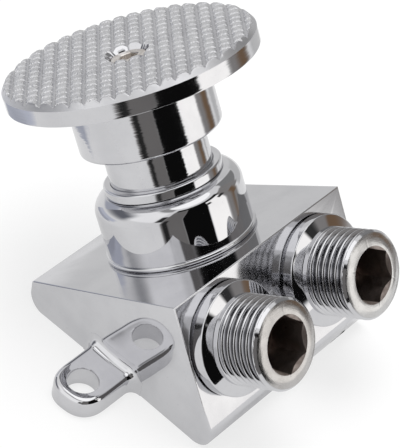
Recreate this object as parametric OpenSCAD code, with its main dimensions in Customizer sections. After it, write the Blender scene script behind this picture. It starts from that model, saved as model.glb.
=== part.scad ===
// Foot pedal tap valve: a wedge-shaped block that stands on the floor, two threaded ports at the back,
// and a sprung round pedal on its sloped face. Pressing the pedal pushes a disc off its seat.
//
// Frame: origin on the floor, midway between the two lug holes. X runs from the toe to the ports,
// Y across the block, Z up. The valve axis stands square on the sloped top face, and heights called
// levels below are measured along it from that face.

/* [Body] */
// Slope of the top face over the floor, degrees
wedge_angle = 32; // [29:0.5:35]
// Length of the port face from the ridge to the sharp back corner
port_face_len = 39.7; // [38:0.1:44]
// Length of the sloped top face from the toe to the ridge
top_face_len = 49; // [46:0.5:54]
// Width of the block at the port face
body_back_w = 61.2; // [58:0.2:70]
// Width of the block at the toe
body_toe_w = 53.2; // [48:0.2:58]
// Rounding of the corner between floor and port face
back_round = 5; // [2:0.1:6]
// Rounding of the corner between floor and toe
toe_round = 4.5; // [2:0.1:5]
// Rounding of the ridge, the toe's upper edge and the upright back edges
edge_round = 0.3; // [0.2:0.1:1.5]
// Distance of the valve axis from the ridge, along the top face
axis_from_ridge = 24.1; // [23:0.1:26]

/* [Mounting lugs] */
// Distance of the lug holes from the sharp back corner
lug_from_back = 35; // [32:0.1:40]
// Distance between the two lug holes
lug_spacing = 78; // [75:0.1:86]
// Outer radius of a lug's round end
lug_r = 6.6; // [6:0.1:9]
// Distance of the round end's centre from the hole, towards the block
lug_end_shift = 0.5; // [0:0.1:1]
// Thickness of a lug
lug_t = 5.2; // [3.5:0.1:6.5]
// Diameter of a lug hole
lug_hole_d = 7.6; // [5:0.1:9]
// Rounding of a lug's upper edge
lug_edge_round = 1.3; // [0.4:0.1:1.6]
// Radius of the hollow where a lug's top meets the block
lug_root_round = 2; // [1:0.1:3]
// Radius of the hollows where a lug's sides meet the block
lug_side_round = 2.6; // [1:0.1:4]

/* [Ports] */
// Distance between the two port axes
port_spacing = 33; // [32:0.2:35]
// Depth of the port axes under the top face
port_drop = 14.8; // [14:0.1:16]
// Diameter of the threaded port sockets
socket_d = 18; // [16:0.2:20]
// Depth of the port sockets
socket_depth = 10; // [9:0.2:10.5]
// Diameter of the water passages from the sockets to the valve
passage_d = 6; // [4:0.2:6.4]

/* [Nipples] */
// Diameter of the collar
collar_d = 26.5; // [25:0.1:30]
// Thickness of the collar's rim
collar_t = 3.1; // [2.4:0.1:5]
// Length of the sloped front of the collar
collar_cone_len = 1; // [0.5:0.1:2]
// Outer diameter of the pipe thread
thread_d = 20.955; // [20:0.005:22]
// Pitch of the pipe thread
thread_pitch = 1.814; // [1.4:0.001:2]
// Depth of the pipe thread
thread_depth = 1.162; // [0.8:0.001:1.3]
// Number of full thread crests
thread_crests = 6; // [4:1:9]
// Width of each crest's flat
crest_flat = 0.3; // [0.2:0.05:0.5]
// Length of the plain rim at the thread's end
end_land = 0.3; // [0.1:0.1:0.8]
// Size of the chamfer at the thread's end
end_chamfer = 0.6; // [0.3:0.1:0.9]
// Width across the flats of the hexagonal bore
hex_flats = 12; // [10:0.1:13]
// Depth of the hexagonal part of the bore
hex_depth = 10; // [6:0.5:12]
// Depth of the round countersink in the hexagon's mouth
hex_countersink = 0.5; // [0.3:0.1:1.5]
// Diameter of the water bore behind the hexagon
nipple_bore_d = 11; // [8:0.1:11.5]
// Length of the spigot in the body
spigot_len = 8; // [6:0.1:8.5]
// Turn of the inlet nipple's hexagon, degrees
inlet_hex_turn = -12; // [-30:1:30]
// Turn of the outlet nipple's hexagon, degrees
outlet_hex_turn = -3; // [-30:1:30]
// Thickness of the flat gaskets under the collars
gasket_t = 0.8; // [0.5:0.1:1.2]
// Width of the flat gaskets
gasket_w = 2.4; // [1.5:0.1:2.8]

/* [Bonnet] */
// Diameter of the bonnet
bonnet_d = 35.4; // [34.8:0.1:38]
// Diameter of the bead at the bonnet's foot
bead_d = 36.4; // [35.8:0.1:39]
// Thickness of the bead
bead_t = 1.3; // [0.8:0.1:2]
// Rounding of the bonnet's shoulder
shoulder_round = 4; // [2:0.1:4]
// Diameter of the threaded boss under the bonnet
boss_d = 30.4; // [30:0.1:31]
// Height of the boss
boss_h = 7; // [6.5:0.1:7.5]
// Bore of the boss
boss_bore_d = 27.2; // [26.8:0.1:27.6]
// Thickness of the bonnet's cord seal
bonnet_seal_t = 1.4; // [1:0.1:1.6]

/* [Gland] */
// Diameter of the gland ring
gland_d = 28.4; // [27.8:0.1:29]
// Thickness of the gland ring's flange
gland_t = 2.4; // [1.6:0.1:4]
// Length of the gland ring's threaded part
gland_thread_len = 1.9; // [1.5:0.1:3]
// Diameter of the gland ring's threaded part
gland_thread_d = 27.1; // [26.8:0.1:27.4]
// Depth of the dark groove under the gland ring
gland_groove = 0.5; // [0.2:0.1:0.6]
// Rounding of the gland ring's upper edge
gland_round = 0.6; // [0.3:0.1:0.9]
// Thickness of the wiper under the gland ring
wiper_t = 1.6; // [1:0.1:2]
// Wall of the bonnet under the wiper
wiper_seat_t = 3.5; // [3:0.1:4]

/* [Plunger and pedal] */
// Travel of the pedal from rest to fully pressed
pedal_travel = 6; // [3:0.5:6.5]
// Diameter of the plunger sleeve
sleeve_d = 24.6; // [24:0.1:25]
// Wall of the plunger sleeve
sleeve_wall = 1.9; // [1:0.1:2.2]
// Length of the sleeve that shows between gland and hub
sleeve_show = 8.8; // [7:0.1:12]
// Length of the sleeve inside the hub
sleeve_grip = 4; // [3:0.1:6]
// Diameter of the hub under the plate
hub_d = 34; // [32:0.1:38]
// Height of the hub
hub_h = 15.5; // [14:0.1:20]
// Rounding of the hub's lower edge
hub_round = 0.8; // [0.4:0.1:4]
// Diameter of the pedal plate
pedal_d = 60; // [50:0.1:70]
// Height of the pedal plate's plain rim
rim_h = 2.8; // [2:0.1:5]
// Depth of the knurl's main grooves
knurl_depth = 0.8; // [0.6:0.05:1.6]
// Depth of the knurl's cross grooves
cross_depth = 0.5; // [0.3:0.05:0.8]
// Height of the sloped edge over the rim
rim_bevel_h = 2.7; // [2.4:0.1:3.2]
// Width of the sloped edge over the rim
rim_bevel_w = 1.2; // [0.8:0.1:2]
// Chamfer of the plate's lower edge
rim_chamfer = 0.3; // [0.1:0.1:0.6]
// Pitch of the knurl
knurl_pitch = 3.4; // [2.8:0.05:4.5]
// Turn of the knurl on the plate, degrees
knurl_turn = 43; // [0:1:90]

/* [Pedal screw] */
// Diameter of the screw's thread
screw_d = 6; // [5:0.1:6.5]
// Diameter of the screw's head
screw_head_d = 9.8; // [9:0.1:11]
// Height of the screw's head
screw_head_h = 3.4; // [2:0.1:3.6]
// Thickness of the plate under the screw's head
screw_web = 1.2; // [0.8:0.1:2]
// Length of the screw's thread inside the spindle
screw_engage = 5.5; // [4:0.1:5.8]
// Width across the flats of the screw's socket
screw_socket = 4; // [3:0.1:5]
// Depth of the screw's socket
screw_socket_depth = 2; // [1:0.1:2.5]

/* [Spindle and guide] */
// Diameter of the spindle
spindle_d = 7; // [6.6:0.1:7.4]
// Diameter of the spindle's tail that carries the disc
tail_d = 5; // [4:0.1:5.5]
// Diameter of the spindle's head in the hub
spindle_head_d = 10; // [9.4:0.1:11]
// Length of the spindle's head in the hub
spindle_head_len = 7; // [6.8:0.1:8]
// Depth of the tapped hole beyond the pedal screw's end
tap_spare = 0.8; // [0.5:0.1:1]
// Length of the guide insert inside the boss
guide_plug_len = 4.5; // [4:0.1:4.8]
// Thickness of the guide insert's floor
guide_floor_t = 3.5; // [3.2:0.1:4]
// Thickness of the guide insert's flange
guide_flange_t = 1.5; // [1.2:0.1:2]
// Diameter of the guide insert's flange
guide_flange_d = 29.6; // [29:0.1:30]
// Diameter of the tower round the spindle
tower_d = 12; // [11.4:0.1:12.6]
// Height of the tower over the guide insert's floor
tower_h = 6; // [5:0.1:8]
// Thickness of the spindle's cord seals
spindle_seal_t = 1.55; // [1.2:0.05:1.8]
// Thickness of the guide insert's cord seal
guide_seal_t = 1.4; // [1:0.1:1.6]

/* [Spring] */
// Mean diameter of the return spring
spring_d = 16.8; // [16:0.1:17.4]
// Diameter of the spring's wire
wire_d = 1.8; // [1.2:0.1:2]
// Number of turns
spring_turns = 6; // [4:1:7]

/* [Seat and disc] */
// Depth of the seat's top under the top face
seat_drop = 2; // [1:0.1:3]
// Thickness of the seat's plate
seat_plate_t = 2; // [1.5:0.1:3]
// Diameter of the opening in the seat
orifice_d = 10.4; // [9:0.1:11]
// Outer diameter of the seat's sleeve
seat_d = 18.6; // [18:0.1:20]
// Inner diameter of the seat's sleeve
seat_bore_d = 14; // [13.9:0.05:14.4]
// Diameter of the seat's thread in the body
seat_thread_d = 16; // [15.6:0.1:16.6]
// Length of the seat's thread
seat_thread_len = 2.5; // [2:0.1:2.8]
// Depth of the ledge under the top face that carries the seat
ledge_drop = 8; // [7.5:0.1:8.2]
// Thickness of the flat seal under the seat
seat_seal_t = 0.8; // [0.5:0.1:1.2]
// Diameter of the rubber washer and its disc
washer_d = 12.4; // [11.6:0.1:13]
// Thickness of the rubber washer
washer_t = 2; // [1.5:0.1:2.5]
// Thickness of the disc under the washer
disc_t = 1.6; // [1:0.1:2]
// Width across the flats of the disc's nut
nut_flats = 8; // [7:0.1:10]
// Height of the disc's nut
nut_h = 2.4; // [2:0.1:3]
// Length of the spindle's tail beyond the nut
tail_end = 0.4; // [0.2:0.1:0.8]
// Diameter of the lower chamber
chamber_d = 14.4; // [14.2:0.1:15]

/* [Fits] */
// Radial clearance of sliding pieces
running_fit = 0.05; // [0.02:0.01:0.08]
// Radial clearance of screwed pieces
thread_fit = 0.05; // [0.02:0.01:0.1]
// Radial clearance of pieces that pass without touching
pass_fit = 0.3; // [0.2:0.05:0.5]
// Gap left at the end of the travel
end_gap = 0.6; // [0.3:0.1:1]
// Radial clearance of a screw in a plain hole
screw_fit = 0.2; // [0.1:0.05:0.4]

/* [Hidden] */
$fn = 96;

// Colours
chrome = [0.82, 0.83, 0.85];
nickel = [0.74, 0.74, 0.75];
brass = [0.72, 0.58, 0.32];
steel = [0.6, 0.61, 0.62];
black_rubber = [0.12, 0.12, 0.13];
fibre = [0.35, 0.2, 0.14];

// Past every face that a cut goes through
over = 1;
// Longer than any piece
reach = 200;

// Corners of the block's side outline, in X and Z
up_slope = [cos(wedge_angle), sin(wedge_angle)];
up_axis = [-sin(wedge_angle), cos(wedge_angle)];
back_corner = [lug_from_back, 0];
ridge_corner = back_corner + port_face_len * up_axis;
toe_corner = ridge_corner - top_face_len * up_slope;
toe_foot = [toe_corner.x, 0];
axis_foot = ridge_corner - axis_from_ridge * up_slope;

// Narrowing of the block from the port face to the toe, on each side, for each unit of length
side_taper = (body_back_w - body_toe_w) / 2 / top_face_len;
// Sideways turn of the block's sides, as seen from above
side_yaw = atan(side_taper * cos(wedge_angle));
// Half of the block's width on the floor between the lugs
lug_root_y = body_back_w / 2 - side_taper * (axis_from_ridge + axis_foot * up_slope);

// Levels along the valve axis, from the top face
seat_top = -seat_drop;
seat_face = seat_top - seat_plate_t;
washer_bottom = seat_face - washer_t;
disc_bottom = washer_bottom - disc_t;
nut_bottom = disc_bottom - nut_h;
tail_bottom = nut_bottom - tail_end;
chamber_bottom = tail_bottom - pedal_travel - end_gap;
ledge = -ledge_drop;
seat_foot = ledge - seat_thread_len;
guide_bottom = boss_h - guide_plug_len;
guide_floor = guide_bottom + guide_floor_t;
guide_top = boss_h + guide_flange_t;
tower_top = guide_floor + tower_h;
wiper_seat = guide_top + wiper_seat_t;
gland_foot = wiper_seat + wiper_t;
bonnet_top = gland_foot + gland_thread_len;
gland_top = bonnet_top + gland_t;
sleeve_bottom = guide_floor + pedal_travel + end_gap;
hub_bottom = gland_top + sleeve_show;
sleeve_top = hub_bottom + sleeve_grip;
hub_top = hub_bottom + hub_h;
head_top = sleeve_top + spindle_head_len;
plate_top = hub_top + rim_h + rim_bevel_h;
screw_seat = hub_top + screw_web;
screw_bottom = head_top - screw_engage;
lower_seal_level = guide_bottom + guide_floor_t / 2;
upper_seal_level = tower_top - spindle_seal_t;

// Radii that several pieces share
sleeve_r = sleeve_d / 2;
sleeve_in_r = sleeve_r - sleeve_wall;
slide_r = sleeve_r + running_fit;
pass_r = sleeve_r + pass_fit;
spindle_r = spindle_d / 2;
spindle_slide_r = spindle_r + running_fit;
boss_bore_r = boss_bore_d / 2;
guide_r = boss_bore_r - thread_fit;
bonnet_bore_r = boss_d / 2 + thread_fit;
gland_bore_r = gland_thread_d / 2 + thread_fit;
spindle_groove_r = spindle_slide_r + spindle_seal_t;
thread_start = collar_t + collar_cone_len;
last_crest = thread_start + (thread_crests + 0.5) * thread_pitch - crest_flat / 2;
nipple_end = last_crest + end_land + end_chamfer;
gasket_in_r = socket_d / 2 + thread_fit;
gasket_out_r = gasket_in_r + gasket_w;

function unit(v) = v / norm(v);
function to_before(p, i) = unit(p[(i + len(p) - 1) % len(p)] - p[i]);
function to_after(p, i) = unit(p[(i + 1) % len(p)] - p[i]);
function half_corner(p, i) = acos(to_before(p, i) * to_after(p, i)) / 2;
function corner_run(p, r, i) = r[i] / tan(half_corner(p, i));
function corner_centre(p, r, i) =
    p[i] + unit(to_before(p, i) + to_after(p, i)) * r[i] / sin(half_corner(p, i));
function corner_points(p, r, i) = [
    p[i] + to_before(p, i) * corner_run(p, r, i),
    p[i] + to_after(p, i) * corner_run(p, r, i)
];

// A convex outline with its corners rounded, one radius for each corner
module rounded_outline(p, r) {
    polygon([for (i = [0 : len(p) - 1]) each corner_points(p, r, i)]);
    for (i = [0 : len(p) - 1]) {
        translate(corner_centre(p, r, i)) circle(r[i]);
    }
}

// Puts Z on the valve axis, with zero on the top face and X towards the ports
module on_valve_axis() {
    translate([axis_foot.x, 0, axis_foot.y]) rotate([0, -wedge_angle, 0]) children();
}

// Puts Z on a port axis, with zero on the port face and pointing out; side is -1 or 1
module on_port_axis(side) {
    on_valve_axis() {
        translate([axis_from_ridge, side * port_spacing / 2, -port_drop]) rotate([0, 90, 0]) children();
    }
}

// A straight post between two levels
module post(low, high, r) {
    translate([0, 0, low]) cylinder(r = r, h = high - low);
}

// A ring between two levels
module ring(low, high, r_out, r_in) {
    difference() {
        post(low, high, r_out);
        post(low - over, high + over, r_in);
    }
}

// A round cord ring of a given thickness, centred on a level
module cord_ring(level, mean_r, t) {
    translate([0, 0, level]) rotate_extrude() translate([mean_r, 0]) circle(t / 2);
}

// A straight round hole from one point to another
module passage(from, to, d) {
    way = to - from;
    turn = [0, acos(way.z / norm(way)), atan2(way.y, way.x)];
    translate(from) rotate(turn) cylinder(d = d, h = norm(way));
}

module block() {
    corners = [back_corner, ridge_corner, toe_corner, toe_foot];
    half_toe = body_back_w / 2 - side_taper * reach;
    plan = [
        [axis_from_ridge - reach, -half_toe],
        [axis_from_ridge, -body_back_w / 2],
        [axis_from_ridge, body_back_w / 2],
        [axis_from_ridge - reach, half_toe]
    ];
    intersection() {
        rotate([90, 0, 0]) linear_extrude(height = reach, center = true) {
            rounded_outline(corners, [back_round, edge_round, edge_round, toe_round]);
        }
        on_valve_axis() linear_extrude(height = reach, center = true) {
            rounded_outline(plan, [edge_round, edge_round, edge_round, edge_round]);
        }
    }
}

// Half of a lug's section: flat below, rounded at the upper edge
module lug_section() {
    square([lug_r, lug_t - lug_edge_round]);
    square([lug_r - lug_edge_round, lug_t]);
    translate([lug_r - lug_edge_round, lug_t - lug_edge_round]) circle(lug_edge_round);
}

// Plan of the hollow between a lug's side and the block, on the +Y side; end is -1 or 1
module lug_side_hollow(end) {
    lean = tan(side_yaw);
    across = [lean, -1] / norm([lean, -1]);
    x = end * (lug_r + lug_side_round);
    centre = [x, lug_root_y + lean * x + lug_side_round / -across.y];
    difference() {
        polygon([[0, lug_root_y - over], [end * lug_r, centre.y], centre, centre + across * lug_side_round]);
        translate(centre) circle(lug_side_round);
    }
}

// One lug without its hole, on the +Y side
module lug() {
    root = lug_root_y - over - lug_root_round;
    end = lug_spacing / 2 - lug_end_shift;
    linear_extrude(height = lug_t - lug_edge_round) {
        lug_side_hollow(-1);
        lug_side_hollow(1);
    }
    translate([0, end, 0]) rotate_extrude() lug_section();
    translate([0, end, 0]) rotate([90, 0, 0]) linear_extrude(height = end - root) {
        lug_section();
        mirror([1, 0, 0]) lug_section();
    }
    translate([0, lug_root_y, lug_t]) rotate([0, 0, side_yaw]) rotate([90, 0, 90]) {
        linear_extrude(height = 2 * (lug_r - lug_edge_round), center = true) difference() {
            translate([-over, -over]) square(over + lug_root_round);
            translate([lug_root_round, lug_root_round]) circle(lug_root_round);
        }
    }
}

module lugs() {
    lug();
    mirror([0, 1, 0]) lug();
}

// Bores for the valve, all on the valve axis
module valve_bores() {
    post(ledge, boss_h + over, boss_bore_r);
    post(seat_foot, ledge + over, seat_thread_d / 2 + thread_fit);
    post(chamber_bottom, ledge, chamber_d / 2);
}

// Sockets for the nipples, and the drilled ways from them to the chambers under and over the seat
module port_bores() {
    socket_end = axis_from_ridge - socket_depth;
    inlet_start = [socket_end + over, -port_spacing / 2, -port_drop];
    outlet_start = [socket_end + over, port_spacing / 2, -port_drop];
    outlet_way = unit([socket_end, port_spacing / 2]) * seat_d / 2;
    passage(inlet_start, [0, 0, (seat_foot + chamber_bottom) / 2], passage_d);
    passage(outlet_start, [outlet_way.x, outlet_way.y, seat_top], passage_d);
}

module valve_body() {
    color(chrome) difference() {
        union() {
            block();
            lugs();
            on_valve_axis() post(-over, boss_h, boss_d / 2);
        }
        on_valve_axis() valve_bores();
        on_valve_axis() port_bores();
        for (side = [-1, 1]) {
            on_port_axis(side) post(-socket_depth, over, socket_d / 2);
            translate([0, side * lug_spacing / 2, 0]) post(-over, lug_t + over, lug_hole_d / 2);
        }
    }
}

// The bonnet's outer section, from the axis out
module bonnet_section() {
    bonnet_r = bonnet_d / 2;
    bead_r = bead_d / 2 - bead_t / 2;
    square([bonnet_r, bonnet_top - shoulder_round]);
    square([bonnet_r - shoulder_round, bonnet_top]);
    translate([bonnet_r - shoulder_round, bonnet_top - shoulder_round]) circle(shoulder_round);
    square([bead_r, bead_t]);
    translate([bead_r, bead_t / 2]) circle(bead_t / 2);
}

module bonnet() {
    seal_r = bonnet_bore_r + bonnet_seal_t;
    color(chrome) on_valve_axis() difference() {
        rotate_extrude() bonnet_section();
        post(-over, guide_top, bonnet_bore_r);
        post(-over, bonnet_seal_t, seal_r);
        post(0, bonnet_top + over, pass_r);
        post(wiper_seat, bonnet_top + over, gland_bore_r);
    }
}

module bonnet_seal() {
    color(black_rubber) on_valve_axis() {
        cord_ring(bonnet_seal_t / 2, bonnet_bore_r + bonnet_seal_t / 2, bonnet_seal_t);
    }
}

module gland_ring() {
    gland_r = gland_d / 2;
    color(nickel) on_valve_axis() difference() {
        union() {
            post(gland_foot, bonnet_top + gland_groove, gland_thread_d / 2);
            translate([0, 0, bonnet_top + gland_groove]) rotate_extrude() {
                square([gland_r, gland_t - gland_groove - gland_round]);
                square([gland_r - gland_round, gland_t - gland_groove]);
                translate([gland_r, gland_t - gland_groove] - [gland_round, gland_round]) circle(gland_round);
            }
        }
        post(gland_foot - over, gland_top + over, slide_r);
    }
}

module plunger_wiper() {
    color(black_rubber) on_valve_axis() ring(wiper_seat, gland_foot, gland_thread_d / 2, slide_r);
}

module plunger_sleeve() {
    color(nickel) on_valve_axis() ring(sleeve_bottom, sleeve_top, sleeve_r, sleeve_in_r);
}

module pedal_hub() {
    hub_r = hub_d / 2;
    color(nickel) on_valve_axis() difference() {
        translate([0, 0, hub_bottom]) rotate_extrude() {
            translate([0, hub_round]) square([hub_r, hub_h - hub_round]);
            square([hub_r - hub_round, hub_h]);
            translate([hub_r - hub_round, hub_round]) circle(hub_round);
        }
        post(hub_bottom - over, sleeve_top, sleeve_r + thread_fit);
        post(sleeve_top - over, head_top, spindle_head_d / 2 + thread_fit);
        post(head_top - over, hub_top + over, screw_d / 2 + screw_fit);
    }
}

// Straight grooves with sloped sides, side by side over the whole plate
module knurl_grooves(depth) {
    count = floor(pedal_d / 2 / knurl_pitch);
    half_w = depth + over;
    for (i = [-count : count]) {
        translate([i * knurl_pitch, 0, 0]) rotate([90, 0, 0]) {
            linear_extrude(height = pedal_d + over, center = true) {
                polygon([[-half_w, over], [0, -depth], [half_w, over]]);
            }
        }
    }
}

module pedal_plate() {
    r = pedal_d / 2;
    side = hub_top + rim_h;
    color(nickel) on_valve_axis() difference() {
        rotate_extrude() polygon([
            [0, hub_top],
            [r - rim_chamfer, hub_top],
            [r, hub_top + rim_chamfer],
            [r, side],
            [r - rim_bevel_w, plate_top],
            [0, plate_top]
        ]);
        translate([0, 0, plate_top]) {
            rotate([0, 0, knurl_turn]) knurl_grooves(knurl_depth);
            rotate([0, 0, knurl_turn + 90]) knurl_grooves(cross_depth);
        }
        post(hub_top - over, plate_top + over, screw_d / 2 + screw_fit);
        post(screw_seat, plate_top + over, screw_head_d / 2 + screw_fit);
    }
}

module pedal_screw() {
    head = screw_seat + screw_head_h;
    color(steel) on_valve_axis() difference() {
        union() {
            post(screw_seat, head, screw_head_d / 2);
            post(screw_bottom, screw_seat + over, screw_d / 2);
        }
        translate([0, 0, head - screw_socket_depth]) {
            cylinder(d = screw_socket / cos(30), h = screw_socket_depth + over, $fn = 6);
        }
    }
}

// The thread's section after its plain start: crests with a short flat, and sloped sides down to the root
function thread_points(start) = [
    for (i = [1 : thread_crests - 1]) let (crest = start + (i + 0.5) * thread_pitch) each [
        [thread_d / 2 - thread_depth, crest - (thread_pitch - crest_flat) / 2],
        [thread_d / 2, crest - crest_flat / 2],
        [thread_d / 2, crest + crest_flat / 2],
        [thread_d / 2 - thread_depth, crest + (thread_pitch - crest_flat) / 2]
    ]
];

module nipple(side, hex_turn) {
    collar_r = collar_d / 2;
    crest_r = thread_d / 2;
    root_r = crest_r - thread_depth;
    first_land = thread_start + (thread_pitch + crest_flat) / 2;
    color(chrome) on_port_axis(side) difference() {
        rotate_extrude() polygon(concat(
            [[0, -spigot_len], [socket_d / 2 - thread_fit, -spigot_len], [socket_d / 2 - thread_fit, 0]],
            [[collar_r, 0], [collar_r, collar_t], [crest_r, thread_start], [crest_r, first_land]],
            [[root_r, thread_start + thread_pitch - crest_flat / 2]],
            thread_points(thread_start),
            [[root_r, last_crest - thread_pitch / 2 + crest_flat], [crest_r, last_crest]],
            [[crest_r, last_crest + end_land], [crest_r - end_chamfer, nipple_end], [0, nipple_end]]
        ));
        ring(-over, gasket_t, gasket_out_r, gasket_in_r);
        post(-spigot_len - over, nipple_end, nipple_bore_d / 2);
        translate([0, 0, nipple_end - hex_depth]) rotate([0, 0, hex_turn]) {
            cylinder(d = hex_flats / cos(30), h = hex_depth + over, $fn = 6);
        }
        translate([0, 0, nipple_end - hex_countersink]) {
            cylinder(r1 = hex_flats / 2, r2 = hex_flats / 2 + hex_countersink, h = hex_countersink);
        }
    }
}

module inlet_nipple() {
    nipple(-1, inlet_hex_turn);
}

module outlet_nipple() {
    nipple(1, outlet_hex_turn);
}

module gasket(side) {
    color(fibre) on_port_axis(side) ring(0, gasket_t, gasket_out_r, gasket_in_r);
}

module inlet_gasket() {
    gasket(-1);
}

module outlet_gasket() {
    gasket(1);
}

module guide_insert() {
    color(brass) on_valve_axis() difference() {
        union() {
            ring(guide_bottom, guide_top, guide_r, pass_r);
            ring(boss_h, guide_top, guide_flange_d / 2, pass_r);
            post(guide_bottom, guide_floor, guide_r);
            post(guide_bottom, tower_top, tower_d / 2);
        }
        post(guide_bottom - over, tower_top + over, spindle_slide_r);
        for (level = [lower_seal_level, upper_seal_level]) {
            post(level - spindle_seal_t / 2, level + spindle_seal_t / 2, spindle_groove_r);
        }
        ring(
            lower_seal_level - guide_seal_t / 2, lower_seal_level + guide_seal_t / 2,
            boss_bore_r + over, boss_bore_r - guide_seal_t
        );
    }
}

module guide_seal() {
    color(black_rubber) on_valve_axis() {
        cord_ring(lower_seal_level, boss_bore_r - guide_seal_t / 2, guide_seal_t);
    }
}

module spindle_seal(level) {
    color(black_rubber) on_valve_axis() {
        cord_ring(level, spindle_slide_r + spindle_seal_t / 2, spindle_seal_t);
    }
}

module spindle_seal_upper() {
    spindle_seal(upper_seal_level);
}

module spindle_seal_lower() {
    spindle_seal(lower_seal_level);
}

module spindle() {
    color(brass) on_valve_axis() difference() {
        union() {
            post(tail_bottom, seat_face + over, tail_d / 2);
            post(seat_face, sleeve_top, spindle_r);
            post(sleeve_top, head_top, spindle_head_d / 2);
        }
        post(screw_bottom - tap_spare, head_top + over, screw_d / 2 + thread_fit);
    }
}

// Points of the spring: rings of six points, eight rings to a turn
spring_sides = 6;
turn_rings = 8;
spring_rings = spring_turns * turn_rings;
spring_rise = sleeve_top - guide_floor - wire_d;
spring_pitch = spring_rise / spring_turns;
echo(spring_gap = spring_pitch - wire_d);

function spring_point(i, j) =
    let (turn = 360 * i / turn_rings, side = 360 * j / spring_sides)
    let (r = spring_d / 2 + wire_d / 2 * cos(side), rise = spring_rise * i / spring_rings)
    [r * cos(turn), r * sin(turn), guide_floor + wire_d / 2 + rise + wire_d / 2 * sin(side)];

function spring_index(i, j) = i * spring_sides + j % spring_sides;

module return_spring() {
    points = [for (i = [0 : spring_rings], j = [0 : spring_sides - 1]) spring_point(i, j)];
    walls = [for (i = [0 : spring_rings - 1], j = [0 : spring_sides - 1]) each [
        [spring_index(i, j), spring_index(i, j + 1), spring_index(i + 1, j)],
        [spring_index(i, j + 1), spring_index(i + 1, j + 1), spring_index(i + 1, j)]
    ]];
    first_end = [for (j = [1 : spring_sides - 2]) [0, spring_index(0, j + 1), spring_index(0, j)]];
    last = spring_rings;
    last_end = [for (j = [1 : spring_sides - 2])
        [spring_index(last, 0), spring_index(last, j), spring_index(last, j + 1)]];
    color(steel) on_valve_axis() polyhedron(points, concat(walls, first_end, last_end));
}

module valve_seat() {
    color(brass) on_valve_axis() difference() {
        union() {
            post(ledge + seat_seal_t, seat_top, seat_d / 2);
            post(seat_foot, ledge + seat_seal_t + over, seat_thread_d / 2);
        }
        post(seat_foot - over, seat_face, seat_bore_d / 2);
        post(seat_face - over, seat_top + over, orifice_d / 2);
    }
}

module seat_seal() {
    color(fibre) on_valve_axis() {
        ring(ledge, ledge + seat_seal_t, seat_d / 2, seat_thread_d / 2 + thread_fit);
    }
}

module disc_washer() {
    color(black_rubber) on_valve_axis() ring(washer_bottom, seat_face, washer_d / 2, tail_d / 2 + thread_fit);
}

module valve_disc() {
    color(brass) on_valve_axis() ring(disc_bottom, washer_bottom, washer_d / 2, tail_d / 2 + thread_fit);
}

module disc_nut() {
    color(steel) on_valve_axis() difference() {
        translate([0, 0, nut_bottom]) cylinder(d = nut_flats / cos(30), h = nut_h, $fn = 6);
        post(nut_bottom - over, disc_bottom + over, tail_d / 2 + thread_fit);
    }
}

valve_body();
bonnet();
bonnet_seal();
gland_ring();
plunger_wiper();
plunger_sleeve();
pedal_hub();
pedal_plate();
pedal_screw();
inlet_nipple();
outlet_nipple();
inlet_gasket();
outlet_gasket();
guide_insert();
guide_seal();
spindle_seal_upper();
spindle_seal_lower();
spindle();
return_spring();
valve_seat();
seat_seal();
disc_washer();
valve_disc();
disc_nut();
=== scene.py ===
# %% [markdown]
# # A foot pedal tap valve, dressed for its picture
# A wedge-shaped chromed block stands on the floor. Two threaded nipples leave it at the back, and a
# sprung round pedal stands on its sloped face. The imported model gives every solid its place; this
# lesson rebuilds the pieces that show with finer surfaces, gives all of them their finishes, and sets
# up the studio. The loading comes first, because every later cell places its work in that frame.

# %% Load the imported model
from math import acos, ceil, cos, hypot, pi, radians, sin, sqrt, tan

import bmesh
import bpy
from mathutils import Matrix, Vector


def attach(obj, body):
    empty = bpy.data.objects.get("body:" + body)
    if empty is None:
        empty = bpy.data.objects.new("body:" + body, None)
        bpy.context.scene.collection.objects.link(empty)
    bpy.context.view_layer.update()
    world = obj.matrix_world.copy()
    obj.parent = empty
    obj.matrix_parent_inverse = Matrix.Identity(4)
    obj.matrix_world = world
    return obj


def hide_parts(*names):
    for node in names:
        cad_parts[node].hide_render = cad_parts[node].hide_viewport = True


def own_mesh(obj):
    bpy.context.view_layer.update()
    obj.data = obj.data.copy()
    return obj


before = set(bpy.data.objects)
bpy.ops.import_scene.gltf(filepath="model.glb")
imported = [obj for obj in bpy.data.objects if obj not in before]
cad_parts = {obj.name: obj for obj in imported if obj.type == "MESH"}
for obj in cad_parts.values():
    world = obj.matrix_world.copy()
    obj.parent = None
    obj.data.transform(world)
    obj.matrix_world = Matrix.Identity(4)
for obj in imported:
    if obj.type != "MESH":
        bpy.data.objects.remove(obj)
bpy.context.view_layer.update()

# %% [markdown]
# ## Where things stand
# Sizes in this lesson are in millimetres, as on a drawing, and become metres when a mesh is made. Most
# pieces are turned on a lathe, so they are drawn about their own axis and then placed. There are three
# axes: the valve axis, square to the sloped face, and the two port axes, square to the port face. A
# matrix for each keeps the drawing and the placing apart.

# %% The three axes
MM = 0.001
SLOPE = radians(32)
PORT_FACE_FOOT, PORT_FACE_LENGTH = 35.0, 39.7
AXIS_FROM_RIDGE, PORT_DROP, PORT_SPACING = 24.1, 14.8, 33.0
SIDES = {"inlet": -1, "outlet": 1}
UP_SLOPE = Vector((cos(SLOPE), 0, sin(SLOPE)))
ACROSS = Vector((0, 1, 0))
VALVE_AXIS = Vector((-sin(SLOPE), 0, cos(SLOPE)))
RIDGE = Vector((PORT_FACE_FOOT, 0, 0)) + PORT_FACE_LENGTH * VALVE_AXIS
AXIS_FOOT = RIDGE - AXIS_FROM_RIDGE * UP_SLOPE


def frame_of(x_way, y_way, z_way, origin):
    """A placing matrix from millimetres about an axis to metres in the shared frame."""
    place = Matrix((x_way, y_way, z_way)).transposed().to_4x4()
    return Matrix.Translation(origin * MM) @ place @ Matrix.Scale(MM, 4)


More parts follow.
